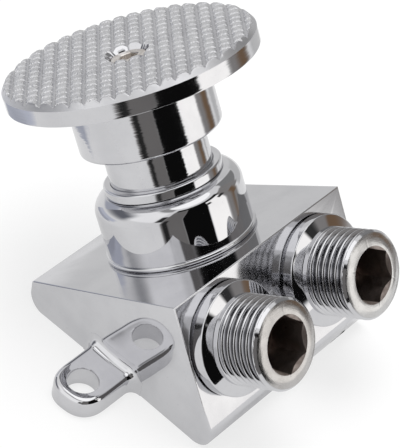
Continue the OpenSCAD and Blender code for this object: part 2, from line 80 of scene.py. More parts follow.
def port_origin(name):
    """Centre of a port on the port face."""
    return RIDGE + SIDES[name] * PORT_SPACING / 2 * ACROSS - PORT_DROP * VALVE_AXIS


on_valve_axis = frame_of(UP_SLOPE, ACROSS, VALVE_AXIS, AXIS_FOOT)
on_port_axis = {name: frame_of(-VALVE_AXIS, ACROSS, UP_SLOPE, port_origin(name)) for name in SIDES}
print("valve axis foot", [round(c, 2) for c in AXIS_FOOT])

# %% [markdown]
# ## The camera
# The picture looks down on the valve from its port side, with a long lens, so that parallel edges stay
# nearly parallel. The place and the turn of the camera come from lining up known edges: the three
# edges of the wedge, the round plate and the two mouths of the nipples.

# %% Camera
CAMERA_PLACE = Vector((186.214, -323.085, 368.238))
AZIMUTH, ELEVATION, ROLL = radians(-59.7122), radians(42.2615), radians(13.358)
camera_data = bpy.data.cameras.new("studio_camera")
camera_data.lens = 175.55
camera_data.clip_start = 0.02
camera_data.clip_end = 20
camera = bpy.data.objects.new("studio_camera", camera_data)
bpy.context.scene.collection.objects.link(camera)
camera_turn = Matrix.Rotation(AZIMUTH + pi / 2, 4, "Z") @ Matrix.Rotation(pi / 2 - ELEVATION, 4, "X")
camera.matrix_world = Matrix.Translation(CAMERA_PLACE * MM) @ camera_turn @ Matrix.Rotation(ROLL, 4, "Z")
bpy.context.scene.camera = camera
print("camera at", list(CAMERA_PLACE), "lens", camera_data.lens)

# %% [markdown]
# ## Building blocks for node trees
# Finishes and rules are node trees, and a tree is easier to read when each node takes one line. `put`
# makes a node, sets its choices and fills its sockets with a value or with a link; the others do the
# same for one kind of step, such as arithmetic or a noise, and hand back its result.

# %% Node helpers
FLOAT, VECTOR, GEOMETRY = "NodeSocketFloat", "NodeSocketVector", "NodeSocketGeometry"
WHOLE, MATERIAL = "NodeSocketInt", "NodeSocketMaterial"
# The mix node's colour sockets share their names with others, so they are called by number.
COLOUR_A, COLOUR_B, MIXED_COLOUR = 6, 7, 2


def put(tree, kind, inputs=None, **choices):
    made = tree.nodes.new(kind)
    for name, value in choices.items():
        setattr(made, name, value)
    for key, value in (inputs or {}).items():
        if isinstance(value, bpy.types.NodeSocket):
            tree.links.new(value, made.inputs[key])
        else:
            made.inputs[key].default_value = value
    return made


def calc(tree, operation, *values):
    return put(tree, "ShaderNodeMath", dict(enumerate(values)), operation=operation).outputs[0]


def vec(tree, operation, *values):
    keys = (0, "Scale") if operation == "SCALE" else range(len(values))
    made = put(tree, "ShaderNodeVectorMath", dict(zip(keys, values)), operation=operation)
    return made.outputs["Value" if operation in ("DOT_PRODUCT", "LENGTH") else "Vector"]


def span(tree, value, low, high, to_low, to_high, smooth=False):
    """A value carried from one span to another, and kept inside it."""
    kind = "SMOOTHSTEP" if smooth else "LINEAR"
    sockets = {"Value": value, "From Min": low, "From Max": high, "To Min": to_low, "To Max": to_high}
    return put(tree, "ShaderNodeMapRange", sockets, interpolation_type=kind).outputs["Result"]


def noise(tree, where, scale, detail, roughness=0.5):
    sockets = {"Vector": where, "Scale": scale, "Detail": detail, "Roughness": roughness}
    return put(tree, "ShaderNodeTexNoise", sockets).outputs


def blend(tree, share, first, second):
    """A colour between two, each given as a colour or as a link."""
    first, second = (c if isinstance(c, bpy.types.NodeSocket) else (*c, 1) for c in (first, second))
    sockets = {"Factor": share, COLOUR_A: first, COLOUR_B: second}
    return put(tree, "ShaderNodeMix", sockets, data_type="RGBA").outputs[MIXED_COLOUR]


def roughen(tree, shader, height, strength, distance):
    """A bump on a shader's normal."""
    bump = put(tree, "ShaderNodeBump", {"Height": height, "Strength": strength, "Distance": distance})
    tree.links.new(bump.outputs["Normal"], shader.inputs["Normal"])


def new_group(name, kind, inputs, outputs):
    """An empty node group with named sockets; gives the tree, its inputs and its output node."""
    tree = bpy.data.node_groups.new(name, kind)
    for title, socket, value in inputs:
        made = tree.interface.new_socket(title, in_out="INPUT", socket_type=socket)
        if value is not None:
            made.default_value = value
    for title, socket in outputs:
        tree.interface.new_socket(title, in_out="OUTPUT", socket_type=socket)
    return tree, tree.nodes.new("NodeGroupInput").outputs, tree.nodes.new("NodeGroupOutput")


print("node helpers ready")

# %% [markdown]
# ## Turning lines
# A lathe tool leaves fine rings round a turned piece. Under plating they are still there: each ring is
# tilted by a hair, so the edge of every reflected band comes out ragged, and the light spreads along
# the axis. A bump map would tilt rings only across their length, so this group tilts the surface in
# both directions by its own noise: slow round the piece, quick along it. It counts rings by height plus
# radius, so that one rule serves walls, flat faces and cones.

# %% Shader group: turning lines
NOISE_MEAN, ELSEWHERE = 0.5, (31.0, 17.0, 5.0)
turning_lines, given, result = new_group(
    "turning lines", "ShaderNodeTree",
    [("Offset", VECTOR, None), ("Normal", VECTOR, None), ("Axis", VECTOR, (0, 0, 1)), ("Rings", FLOAT, 6.0),
     ("Wander", FLOAT, 1.0), ("Tilt Round", FLOAT, 0.04), ("Tilt Along", FLOAT, 0.06)],
    [("Normal", VECTOR)])
t = turning_lines
level = vec(t, "DOT_PRODUCT", given["Offset"], given["Axis"])
outward = vec(t, "SUBTRACT", given["Offset"], vec(t, "SCALE", given["Axis"], level))
around = vec(t, "NORMALIZE", vec(t, "CROSS_PRODUCT", given["Axis"], outward))
count = calc(t, "MULTIPLY", calc(t, "ADD", level, vec(t, "LENGTH", outward)), given["Rings"])
spot = vec(t, "ADD", vec(t, "SCALE", vec(t, "NORMALIZE", outward), given["Wander"]),
           vec(t, "SCALE", given["Axis"], count))
sideways = noise(t, spot, scale=1.0, detail=2.0)["Fac"]
lengthways = noise(t, vec(t, "ADD", spot, ELSEWHERE), scale=1.0, detail=3.0)["Fac"]
tilt_round = calc(t, "MULTIPLY", calc(t, "SUBTRACT", sideways, NOISE_MEAN), given["Tilt Round"])
tilt_along = calc(t, "MULTIPLY", calc(t, "SUBTRACT", lengthways, NOISE_MEAN), given["Tilt Along"])
across_rings = vec(t, "CROSS_PRODUCT", given["Normal"], around)
tilted = vec(t, "ADD", given["Normal"], vec(t, "SCALE", around, tilt_round))
tilted = vec(t, "ADD", tilted, vec(t, "SCALE", across_rings, tilt_along))
t.links.new(vec(t, "NORMALIZE", tilted), result.inputs["Normal"])
print(t.name, "has", len(t.nodes), "nodes")

# %% [markdown]
# ## Handling haze
# Bright plating is never quite even: it carries a breath of haze where it was wiped, and a few pin
# specks where the polish missed. Both are soft noises on the piece's own coordinates, and every metal
# here uses them with its own strength.

# %% Shader group: handling haze
CLOUD_RISE, SPECK_RISE = (0.35, 0.7), (0.70, 0.78)
handling_haze, given, result = new_group(
    "handling haze", "ShaderNodeTree",
    [("Offset", VECTOR, None), ("Cloud Size", FLOAT, 9.0), ("Speck Size", FLOAT, 0.5)],
    [("Cloud", FLOAT), ("Specks", FLOAT)])
t = handling_haze
cloud_scale = calc(t, "DIVIDE", 1.0, given["Cloud Size"])
cloud = noise(t, given["Offset"], cloud_scale, detail=4.0, roughness=0.55)["Fac"]
t.links.new(span(t, cloud, *CLOUD_RISE, 0.0, 1.0, True), result.inputs["Cloud"])
speck_scale = calc(t, "DIVIDE", 1.0, given["Speck Size"])
speck = noise(t, given["Offset"], speck_scale, detail=1.0)["Fac"]
t.links.new(span(t, speck, *SPECK_RISE, 0.0, 1.0, True), result.inputs["Specks"])
print(t.name, "has", len(t.nodes), "nodes")

# %% [markdown]
# ## The finishes
# All the bright pieces are brass with nickel and chromium on top, so they share one pale steel-grey
# colour and differ in how the surface under the plating was worked: buffed on the block, the bonnet and
# the nipples, left as turned on the plunger, the hub and the plate's rim. The port face is less finely
# buffed, the plate's sloped edge is dull, and painted shade darkens the roots of the threads. Each metal
# takes the haze group, and the turned ones take the turning lines about their own axis.

# %% Metal finishes
# The third colour, near black, is painted shade for the roots of threads.
PALE_STEEL, WORN_STEEL, ROOT_SHADE = (0.66, 0.66, 0.677), (0.585, 0.585, 0.605), (0.06, 0.06, 0.065)
CLOUD_SHARE, ROOT_SHADE_SHARE = 0.6, 0.9


def blank_material(name, shown):
    material = bpy.data.materials.new(name)
    material.use_nodes = True
    material.diffuse_color = (*shown, 1.0)
    return material, material.node_tree, material.node_tree.nodes["Principled BSDF"]


def offset_from(tree, origin):
    """The piece's own coordinates in millimetres, counted from a point."""
    own = put(tree, "ShaderNodeTexCoord").outputs["Object"]
    sockets = {"Vector": own, "Scale": (1 / MM, 1 / MM, 1 / MM), "Location": tuple(-c for c in origin)}
    return put(tree, "ShaderNodeMapping", sockets).outputs["Vector"]


def metal(name, colour, dull, rough, origin=AXIS_FOOT, axis=tuple(VALVE_AXIS), haze=0.05, cloud_size=9.0,
          turning=None, wave=0.0, wave_size=6.0, tips=None, roots=None):
    """A metal between a clean colour and a duller one, with lines, waves or painted shade in thread roots
    where asked.
    """
    material, tree, shader = blank_material(name, colour)
    offset = offset_from(tree, origin)
    sockets = {"Offset": offset, "Cloud Size": cloud_size}
    spoil = put(tree, "ShaderNodeGroup", sockets, node_tree=handling_haze).outputs
    dirt = calc(tree, "MAXIMUM", calc(tree, "MULTIPLY", spoil["Cloud"], CLOUD_SHARE), spoil["Specks"])
    surface = blend(tree, dirt, colour, dull)
    # Painted shade: the colour darkens to near black towards the roots of a thread.
    if roots:
        along = vec(tree, "SCALE", axis, vec(tree, "DOT_PRODUCT", offset, axis))
        from_axis = vec(tree, "LENGTH", vec(tree, "SUBTRACT", offset, along))
        surface = blend(tree, span(tree, from_axis, *roots, ROOT_SHADE_SHARE, 0.0, True), surface, ROOT_SHADE)
    tree.links.new(surface, shader.inputs["Base Color"])
    tree.links.new(calc(tree, "MULTIPLY_ADD", spoil["Cloud"], haze, rough), shader.inputs["Roughness"])
    shader.inputs["Metallic"].default_value = 1.0
    if turning:
        facing = put(tree, "ShaderNodeNewGeometry").outputs["Normal"]
        sockets = {"Offset": offset, "Normal": facing, "Axis": axis, **turning}
        lines = put(tree, "ShaderNodeGroup", sockets, node_tree=turning_lines)
        tree.links.new(lines.outputs["Normal"], shader.inputs["Normal"])
    elif wave:
        swell = noise(tree, offset, 1 / wave_size, detail=1.0)["Fac"]
        if tips:
            level = vec(tree, "DOT_PRODUCT", offset, axis)
            swell = calc(tree, "MULTIPLY", swell, span(tree, level, *tips, 0.0, 1.0, True))
        roughen(tree, shader, swell, 1.0, wave)
    return material


def turned(rings, wander, tilt_round, tilt_along):
    """Settings of the turning lines."""
    return {"Rings": rings, "Wander": wander, "Tilt Round": tilt_round, "Tilt Along": tilt_along}


def chrome(name, rough, **more):
    return metal(name, PALE_STEEL, WORN_STEEL, rough, **more)


def at_port(name):
    return {"origin": port_origin(name), "axis": tuple(UP_SLOPE)}


bright_chrome = chrome("buffed_chrome", 0.025, haze=0.03, wave=0.00002)
satin_chrome = chrome("satin_chrome", 0.1, haze=0.03)
dull_chrome = chrome("dull_chrome", 0.35, haze=0.1)
turned_chrome = chrome("turned_chrome", 0.06, turning=turned(5.0, 1.6, 0.07, 0.12))
fine_turned_chrome = chrome("fine_turned_chrome", 0.06, turning=turned(4.0, 0.8, 0.02, 0.08))
knurled_chrome = chrome("knurled_chrome", 0.1, haze=0.08, wave=0.00028, wave_size=0.45, tips=(46.9, 47.25))
# The threads' roots carry painted shade.
thread_chrome = {name: chrome("thread_chrome_" + name, 0.08, haze=0.04, roots=(9.5, 10.1), **at_port(name))
                 for name in SIDES}
screw_steel = metal("screw_steel", (0.76, 0.73, 0.7), (0.5, 0.45, 0.41), 0.2, haze=0.2, cloud_size=2.0,
                    turning=turned(3.0, 3.0, 0.1, 0.2))
spring_steel = metal("spring_steel", (0.50, 0.50, 0.51), (0.36, 0.35, 0.35), 0.28, haze=0.15)
turned_brass = metal("turned_brass", (0.72, 0.53, 0.26), (0.55, 0.38, 0.18), 0.2, haze=0.2,
                     turning=turned(5.0, 3.0, 0.08, 0.25))
bore_brass = metal("stained_bore", (0.42, 0.36, 0.33), (0.12, 0.09, 0.08), 0.35, haze=0.2, cloud_size=3.0)
# The two mouths share one finish; the inlet's darker tones are painted shade.
MOUTH_LIT_AND_SHADED_TONES = {"inlet": ((0.52, 0.505, 0.495), (0.42, 0.405, 0.395)),
               "outlet": ((0.6, 0.595, 0.59), (0.5, 0.49, 0.485))}
mouth_chrome = {name: metal("mouth_chrome_" + name, *MOUTH_LIT_AND_SHADED_TONES[name], 0.18, haze=0.12, cloud_size=4.0,
                            turning=turned(4.0, 2.5, 0.1, 0.22), **at_port(name))
                for name in SIDES}
print("materials so far:", len(bpy.data.materials))

# %% [markdown]
# ## Rubber and fibre
# The seals inside never show on the closed valve, but the part is also taken apart on a screen. Moulded
# rubber is near black with a fine grain and a dusting of talc; pressed fibre is red-brown with short
# strands in every direction. Stretched noise gives the strands, fine noise the grain.

# %% Soft finishes
def moulded_rubber():
    material, tree, shader = blank_material("moulded_rubber", (0.02, 0.02, 0.022))
    offset = offset_from(tree, AXIS_FOOT)
    grain = noise(tree, offset, scale=9.0, detail=3.0)["Fac"]
    talc = span(tree, noise(tree, offset, scale=0.7, detail=4.0)["Fac"], 0.45, 0.75, 0.0, 0.5)
    colour = blend(tree, talc, (0.016, 0.016, 0.018), (0.07, 0.07, 0.07))
    tree.links.new(colour, shader.inputs["Base Color"])
    tree.links.new(span(tree, grain, 0.3, 0.7, 0.5, 0.75), shader.inputs["Roughness"])
    roughen(tree, shader, grain, strength=0.4, distance=0.00005)
    return material


def pressed_fibre():
    material, tree, shader = blank_material("pressed_fibre", (0.2, 0.08, 0.05))
    offset = offset_from(tree, AXIS_FOOT)
    warp = vec(tree, "SCALE", noise(tree, offset, scale=0.8, detail=2.0)["Color"], 2.0)
    stretched = vec(tree, "MULTIPLY", vec(tree, "ADD", offset, warp), (1.0, 6.0, 6.0))
    strands = noise(tree, stretched, scale=1.2, detail=4.0)["Fac"]
    pale = span(tree, strands, 0.35, 0.65, 0.0, 1.0)
    colour = blend(tree, pale, (0.13, 0.045, 0.028), (0.28, 0.12, 0.075))
    tree.links.new(colour, shader.inputs["Base Color"])
    tree.links.new(span(tree, strands, 0.3, 0.7, 0.85, 0.6), shader.inputs["Roughness"])
    roughen(tree, shader, strands, strength=0.5, distance=0.00008)
    return material


seal_rubber = moulded_rubber()
gasket_fibre = pressed_fibre()
print("soft finishes:", seal_rubber.name, gasket_fibre.name)

# %% [markdown]
# ## Meshes from turned outlines
# A turned piece is an outline swept round its axis. The outline is a list of corners, each with the
# radius that the tool or the buffing wheel left on it. `soften` rounds the corners and sets one more
# point close to each end of every rounding: without those the shading of a long straight wall would
# bend towards the corner, and on a mirror finish that shows at once.

# %% Outlines and lathe
LEAST_ROOM, SPARE_POINT = 0.05, 0.2
LARGE_ROUND, LARGE_STEP, SMALL_STEP = 1.0, radians(4), radians(9)


def soften(corners):
    """A closed outline of (radius, level) points from (radius, level, rounding) corners."""
    points = [Vector(c[:2]) for c in corners]
    rounds = [c[2] if len(c) > 2 else 0.0 for c in corners]
    size = len(points)
    ways = [(points[(i + 1) % size] - points[i]).normalized() for i in range(size)]
    runs = [rounds[i] / tan((-ways[i - 1]).angle(ways[i]) / 2) if rounds[i] else 0.0 for i in range(size)]
    made = []
    for i in range(size):
        if not rounds[i]:
            made.append(points[i])
            continue
        back, ahead = -ways[i - 1], ways[i]
        room_back = (points[i] - points[i - 1]).length - runs[i] - runs[i - 1]
        room_ahead = (points[(i + 1) % size] - points[i]).length - runs[i] - runs[(i + 1) % size]
        half = back.angle(ahead) / 2
        centre = points[i] + (back + ahead).normalized() * rounds[i] / sin(half)
        first, last = points[i] + back * runs[i], points[i] + ahead * runs[i]
        if room_back > LEAST_ROOM:
            made.append(first + back * min(SPARE_POINT, room_back / 3))
        steps = max(4, ceil((pi - 2 * half) / (SMALL_STEP if rounds[i] < LARGE_ROUND else LARGE_STEP)))
        spread = (first - centre).angle(last - centre)
        for k in range(steps + 1):
            part = k / steps
            ray = (first - centre) * sin((1 - part) * spread) + (last - centre) * sin(part * spread)
            made.append(centre + ray / sin(spread))
        if room_ahead > LEAST_ROOM:
            made.append(last + ahead * min(SPARE_POINT, room_ahead / 3))
    return [(p.x, p.y) for p in made]


def lathe(outline, turns=192):
    """Points and faces of a closed outline swept once round its axis."""
    size = len(outline)
    points, faces = [], []
    for j in range(turns):
        angle, k = 2 * pi * j / turns, (j + 1) % turns
        points += [(r * cos(angle), r * sin(angle), z) for r, z in outline]
        faces += [(j * size + i, k * size + i, k * size + (i + 1) % size, j * size + (i + 1) % size)
                  for i in range(size)]
    return points, faces


def quads(rows, wide):
    """Faces between neighbouring rows of points, each row closed in itself."""
    ends = [(i * wide, (i + 1) * wide, j, (j + 1) % wide) for i in range(rows - 1) for j in range(wide)]
    return [(low + j, low + k, high + k, high + j) for low, high, j, k in ends]


def close_mesh(name, bm, sharp=30, merge=1e-7):
    """A smooth mesh object from a bmesh: doubles merged, faces outwards, hard edges kept."""
    bmesh.ops.remove_doubles(bm, verts=bm.verts, dist=merge)
    bmesh.ops.recalc_face_normals(bm, faces=bm.faces)
    mesh = bpy.data.meshes.new(name)
    bm.to_mesh(mesh)
    bm.free()
    mesh.shade_smooth()
    mesh.set_sharp_from_angle(angle=radians(sharp))
    made = bpy.data.objects.new(name, mesh)
    bpy.context.scene.collection.objects.link(made)
    return made


def add_skin(bm, points, faces, place, index=0):
    """Adds points and faces to a bmesh, placed, with one material index."""
    corners = [bm.verts.new(place @ Vector(p)) for p in points]
    for face in faces:
        bm.faces.new([corners[i] for i in face]).material_index = index


def placed(name, points, faces, place, sharp=30):
    """An object from points in millimetres about an axis."""
    bm = bmesh.new()
    add_skin(bm, points, faces, place)
    return close_mesh(name, bm, sharp)


def turned_piece(name, corners):
    """A piece turned on the valve axis."""
    return placed(name, *lathe(soften(corners)), on_valve_axis)


def taken(piece):
    """A bmesh of a piece, which is itself removed."""
    bm = bmesh.new()
    bm.from_mesh(piece.data)
    bpy.data.objects.remove(piece)
    return bm


def dress(piece, body, slot, nodes, *materials):
    """Gives a piece its finish and its body, and hides the solids that it stands for. The slot is not used.
    """
    for material in materials:
        piece.data.materials.append(material)
    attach(piece, body)
    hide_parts(*nodes)
    print(piece.name, "for", ", ".join(nodes), "-", len(piece.data.polygons), "faces")


print("lathe ready")

# %% [markdown]
# ## The bonnet
# The bonnet is the smooth cap that holds the plunger's guide on the sloped face. It is turned and then
# buffed bright: a half-round bead at the foot, a straight wall and a wide shoulder. One closed outline
# holds the outside and the stepped bore, so the piece has its real thickness.

# %% Bonnet
BONNET_R, BONNET_TOP, SHOULDER = 17.7, 15.5, 4.0
BEAD_CENTRE_R, BEAD_R, BEAD_STEPS, WALL_FOOT = 17.55, 0.65, 14, 1.7
SEAL_R, SEAL_TOP, GUIDE_R, GUIDE_TOP = 16.65, 1.4, 15.25, 8.5
NECK_R, GLAND_BORE_R, GLAND_BORE_FOOT = 12.6, 13.6, 12.0
bead_from, bead_to = -pi / 2, acos((BONNET_R - BEAD_CENTRE_R) / BEAD_R)
bead_turns = [bead_from + (bead_to - bead_from) * k / BEAD_STEPS for k in range(BEAD_STEPS + 1)]
bead = [(BEAD_CENTRE_R + BEAD_R * cos(a), BEAD_R + BEAD_R * sin(a)) for a in bead_turns]
bonnet_corners = [(SEAL_R, 0)] + bead
bonnet_corners += [
    (BONNET_R, WALL_FOOT), (BONNET_R, BONNET_TOP, SHOULDER), (GLAND_BORE_R, BONNET_TOP, 0.15),
    (GLAND_BORE_R, GLAND_BORE_FOOT), (NECK_R, GLAND_BORE_FOOT), (NECK_R, GUIDE_TOP), (GUIDE_R, GUIDE_TOP),
    (GUIDE_R, SEAL_TOP), (SEAL_R, SEAL_TOP)]
bonnet_cap = turned_piece("bonnet_cap", bonnet_corners)
dress(bonnet_cap, "valve", "polished_chrome", ["bonnet"], bright_chrome)

# %% [markdown]
# ## Gland ring, plunger and hub
# Above the bonnet the pieces are left as the lathe made them. The gland ring screws into the bonnet, and
# only a thin line shows under its flange; the plunger is a plain tube; the hub is the heavier boss under
# the plate, its lower edge only just broken. The same lathe makes all three.

# %% Gland ring, plunger tube and hub
FLANGE_R, FLANGE_FOOT, FLANGE_TOP = 14.2, 15.6, 17.9
GLAND_R, GLAND_FOOT, GLAND_HOLE_R = 13.55, 13.6, 12.35
gland_collar = turned_piece("gland_collar", [
    (GLAND_HOLE_R, GLAND_FOOT), (GLAND_R, GLAND_FOOT), (GLAND_R, FLANGE_FOOT), (FLANGE_R, FLANGE_FOOT, 0.1),
    (FLANGE_R, FLANGE_TOP, 0.6), (GLAND_HOLE_R, FLANGE_TOP, 0.2)])
dress(gland_collar, "valve", "turned_chrome", ["gland_ring"], fine_turned_chrome)

TUBE_R, TUBE_BORE_R, TUBE_FOOT, TUBE_TOP = 12.3, 10.4, 12.6, 30.7
plunger_tube = turned_piece("plunger_tube", [
    (TUBE_BORE_R, TUBE_FOOT), (TUBE_R, TUBE_FOOT, 0.3), (TUBE_R, TUBE_TOP), (TUBE_BORE_R, TUBE_TOP)])
dress(plunger_tube, "pedal", "turned_chrome", ["plunger_sleeve"], turned_chrome)

HUB_R, HUB_FOOT, HUB_SOCKET_R, PLATE_FOOT = 17.0, 26.7, 12.35, 42.2
SPINDLE_HOLE_R, SPINDLE_TOP, SCREW_HOLE_R = 5.05, 37.7, 3.2
hub_boss = turned_piece("hub_boss", [
    (HUB_SOCKET_R, HUB_FOOT, 0.2), (HUB_R, HUB_FOOT, 0.8), (HUB_R, PLATE_FOOT, 0.1),
    (SCREW_HOLE_R, PLATE_FOOT), (SCREW_HOLE_R, SPINDLE_TOP), (SPINDLE_HOLE_R, SPINDLE_TOP),
    (SPINDLE_HOLE_R, TUBE_TOP), (HUB_SOCKET_R, TUBE_TOP)])
dress(hub_boss, "pedal", "turned_chrome", ["pedal_hub"], turned_chrome)

# %% [markdown]
# ## Geometry Nodes as a workshop
# Three shapes here follow a rule all over: the knurl on the plate, the pipe thread and the spring. Each
# is a Geometry Nodes tree with its sizes as named inputs. `work` sets the inputs on a modifier by their
# identifiers, lets the tree run once, and keeps the result as a plain mesh.

# %% Running a tree once
def apply_modifiers(piece):
    """Turns a piece and its modifiers into one plain mesh."""
    mesh = bpy.data.meshes.new_from_object(piece.evaluated_get(bpy.context.evaluated_depsgraph_get()))
    piece.modifiers.clear()
    piece.data = mesh


def work(piece, tree, sizes):
    modifier = piece.modifiers.new(tree.name, "NODES")
    modifier.node_group = tree
    for item in tree.interface.items_tree:
        if item.in_out == "INPUT" and item.name in sizes:
            modifier[item.identifier] = sizes[item.name]
    apply_modifiers(piece)
    return piece


def blank_piece(name, points=(), faces=()):
    mesh = bpy.data.meshes.new(name)
    mesh.from_pydata(points, [], faces)
    made = bpy.data.objects.new(name, mesh)
    bpy.context.scene.collection.objects.link(made)
    return made


def finish_tree(tree, geometry, finish, result):
    """Every tree ends the same way: instances made real, material set."""
    real = put(tree, "GeometryNodeRealizeInstances", {0: geometry}).outputs[0]
    painted = put(tree, "GeometryNodeSetMaterial", {"Geometry": real, "Material": finish}).outputs[0]
    tree.links.new(painted, result.inputs[0])
    print(tree.name, "has", len(tree.nodes), "nodes")


print("geometry workshop ready")

# %% [markdown]
# ## The knurled plate: the rule
# A cutter with a blunt point leaves rows of low ridges on the plate. Cross grooves then notch the backs,
# and the sloped edge cuts through all of it, which gives the rim its scallops. Notched ridges placed one
# by one would have to be trimmed at the edge; a rule for the height at every point needs no trimming. The
# rule takes the lowest of four surfaces: the plate's top, the two sets of grooves and the sloped edge. It
# joins them softly, as plating does, and each joint has its own softness.

# %% Geometry tree: knurled face
PLATE_R, PITCH, KNURL_TOP = 30.0, 3.4, 47.5
BEVEL_FOOT, BEVEL_SLOPE = 46.0, 1.4
knurl_tree, given, result = new_group(
    "knurled face", "GeometryNodeTree",
    [("Net", GEOMETRY, None), ("Pitch", FLOAT, PITCH), ("Depth", FLOAT, 0.8), ("Cross Depth", FLOAT, 0.6),
     ("Turn", FLOAT, 0.0), ("Back Round", FLOAT, 0.7), ("Notch Round", FLOAT, 0.06),
     ("Edge Round", FLOAT, 0.08), ("Top", FLOAT, KNURL_TOP), ("Plate Radius", FLOAT, PLATE_R),
     ("Bevel Foot", FLOAT, BEVEL_FOOT), ("Bevel Slope", FLOAT, BEVEL_SLOPE), ("Finish", MATERIAL, None)],
    [("Geometry", GEOMETRY)])
t = knurl_tree
here = put(t, "GeometryNodeInputPosition").outputs[0]
sockets = {"Vector": here, "Angle": calc(t, "MULTIPLY", given["Turn"], -1.0)}
along = put(t, "ShaderNodeVectorRotate", sockets, rotation_type="Z_AXIS").outputs[0]
ways = put(t, "ShaderNodeSeparateXYZ", {0: along}).outputs


def from_groove(way):
    """Distance from the nearest groove of one set."""
    return calc(t, "PINGPONG", way, calc(t, "MULTIPLY", given["Pitch"], 0.5))


ridges = calc(t, "ADD", calc(t, "SUBTRACT", given["Top"], given["Depth"]), from_groove(ways["X"]))
notches = calc(t, "ADD", calc(t, "SUBTRACT", given["Top"], given["Cross Depth"]), from_groove(ways["Y"]))
backs = calc(t, "SMOOTH_MIN", given["Top"], ridges, given["Back Round"])
knurl_level = calc(t, "SMOOTH_MIN", backs, notches, given["Notch Round"])
edge_run = calc(t, "SUBTRACT", given["Plate Radius"], vec(t, "LENGTH", here))
bevel_level = calc(t, "MULTIPLY_ADD", edge_run, given["Bevel Slope"], given["Bevel Foot"])
level = calc(t, "SMOOTH_MIN", knurl_level, bevel_level, given["Edge Round"])
lift = put(t, "ShaderNodeCombineXYZ", {"Z": level}).outputs[0]
raised = put(t, "GeometryNodeSetPosition", {"Geometry": given["Net"], "Offset": lift}).outputs[0]
finish_tree(t, raised, given["Finish"], result)

# %% [markdown]
# ## The knurled plate: the piece
# The rule needs a fine flat net to work on. Its lines run with the grooves, so that every ridge and
# groove lies on a line of the net, and it is cut clean at the plate's edge and at the screw's hole. The
# rim, the underside and the hole, which flares upwards, are then walled from the net's two borders.

# %% Knurled plate
KNURL_TURN = radians(43)
NET_STEP, NET_WELD = PITCH / 18, 0.01
RIM_TOP, HOLE_R, FLARE_FOOT_R, FLARE_FOOT, HEAD_SEAT = 45.8, 5.3, 4.3, 45.9, 43.4
# The rim's lower edge, as distances in from the rim and up from the underside.
RIM_FOOT = [(0, 0.5), (0, 0.3), (0.08, 0.1), (0.3, 0), (0.6, 0)]
KNURLED, TURNED, DULL, DULL_DEPTH = 0, 1, 2, 0.1


def flat_net():
    """Square cells between two circles, with the cells on a circle cut along it."""
    points, faces, known = [], [], {}
    reach = ceil(PLATE_R / NET_STEP) + 1

    def spot(key, x, y):
        if key not in known:
            known[key] = len(points)
            points.append((x * cos(KNURL_TURN) - y * sin(KNURL_TURN),
                           x * sin(KNURL_TURN) + y * cos(KNURL_TURN), 0))
        return known[key]

    def inside(p):
        return HOLE_R <= hypot(*p) <= PLATE_R

    def crossing(a, b):
        circle = PLATE_R if max(hypot(*a), hypot(*b)) > PLATE_R else HOLE_R
        dx, dy = b[0] - a[0], b[1] - a[1]
        qa, qb, qc = dx * dx + dy * dy, a[0] * dx + a[1] * dy, a[0] ** 2 + a[1] ** 2 - circle ** 2
        root = sqrt(qb * qb - qa * qc)
        part = min(((-qb + s * root) / qa for s in (-1, 1)), key=lambda k: abs(k - 0.5))
        return a[0] + dx * part, a[1] + dy * part

    for i in range(-reach, reach):
        for j in range(-reach, reach):
            cell = [(i, j), (i + 1, j), (i + 1, j + 1), (i, j + 1)]
            spots = [(a * NET_STEP, b * NET_STEP) for a, b in cell]
            held = [inside(p) for p in spots]
            if not any(held):
                continue
            face = []
            for k in range(4):
                n = (k + 1) % 4
                if held[k]:
                    face.append(spot(cell[k], *spots[k]))
                if held[k] != held[n]:
                    side = (min(cell[k], cell[n]), max(cell[k], cell[n]))
                    face.append(spot(side, *crossing(spots[k], spots[n])))
            if len(face) > 2:
                faces.append(face)
    return points, faces


def wall_from(bm, border, rows):
    """Walls a border through rows of (radius, level); gives the last row's edges."""
    for radius, level in rows:
        made = bmesh.ops.extrude_edge_only(bm, edges=border)["geom"]
        row = {g for g in made if isinstance(g, bmesh.types.BMVert)}
        for v in row:
            scale = radius / hypot(v.co.x, v.co.y)
            v.co = Vector((v.co.x * scale, v.co.y * scale, level))
        border = [g for g in made if isinstance(g, bmesh.types.BMEdge) and row.issuperset(g.verts)]
    return border


net = blank_piece("knurled_plate", *flat_net())
bm = taken(work(net, knurl_tree, {"Turn": KNURL_TURN, "Finish": knurled_chrome}))
bmesh.ops.remove_doubles(bm, verts=bm.verts, dist=NET_WELD)
for face in bm.faces:
    middle = face.calc_center_median()
    slope_level = BEVEL_FOOT + (PLATE_R - hypot(middle.x, middle.y)) * BEVEL_SLOPE
    face.material_index = DULL if middle.z > slope_level - DULL_DEPTH else KNURLED
net_faces = set(bm.faces)
borders = [e for e in bm.edges if e.is_boundary]
rim = [e for e in borders if hypot(*e.verts[0].co.xy) > PLATE_R / 2]
hole = [e for e in borders if hypot(*e.verts[0].co.xy) < PLATE_R / 2]
rim_rows = [(PLATE_R, RIM_TOP)] + [(PLATE_R - into, PLATE_FOOT + up) for into, up in RIM_FOOT]
hole_rows = [(FLARE_FOOT_R, FLARE_FOOT), (FLARE_FOOT_R, HEAD_SEAT), (SCREW_HOLE_R, HEAD_SEAT),
             (SCREW_HOLE_R, PLATE_FOOT)]
bmesh.ops.bridge_loops(bm, edges=wall_from(bm, rim, rim_rows) + wall_from(bm, hole, hole_rows))
for face in set(bm.faces) - net_faces:
    face.material_index = TURNED
bm.transform(on_valve_axis)
knurled_plate = close_mesh("knurled_plate", bm, sharp=35)
dress(knurled_plate, "pedal", "turned_chrome", ["pedal_plate"], knurled_chrome, turned_chrome, dull_chrome)

# %% [markdown]
# ## The pedal screw
# A cap screw sits in the middle of the plate, its head sunk a little under the tips of the knurl. Its
# socket is a hexagon in a round head, so the rings of the mesh change from six-sided to round on their way
# out: one function gives the hexagon's reach at any angle.

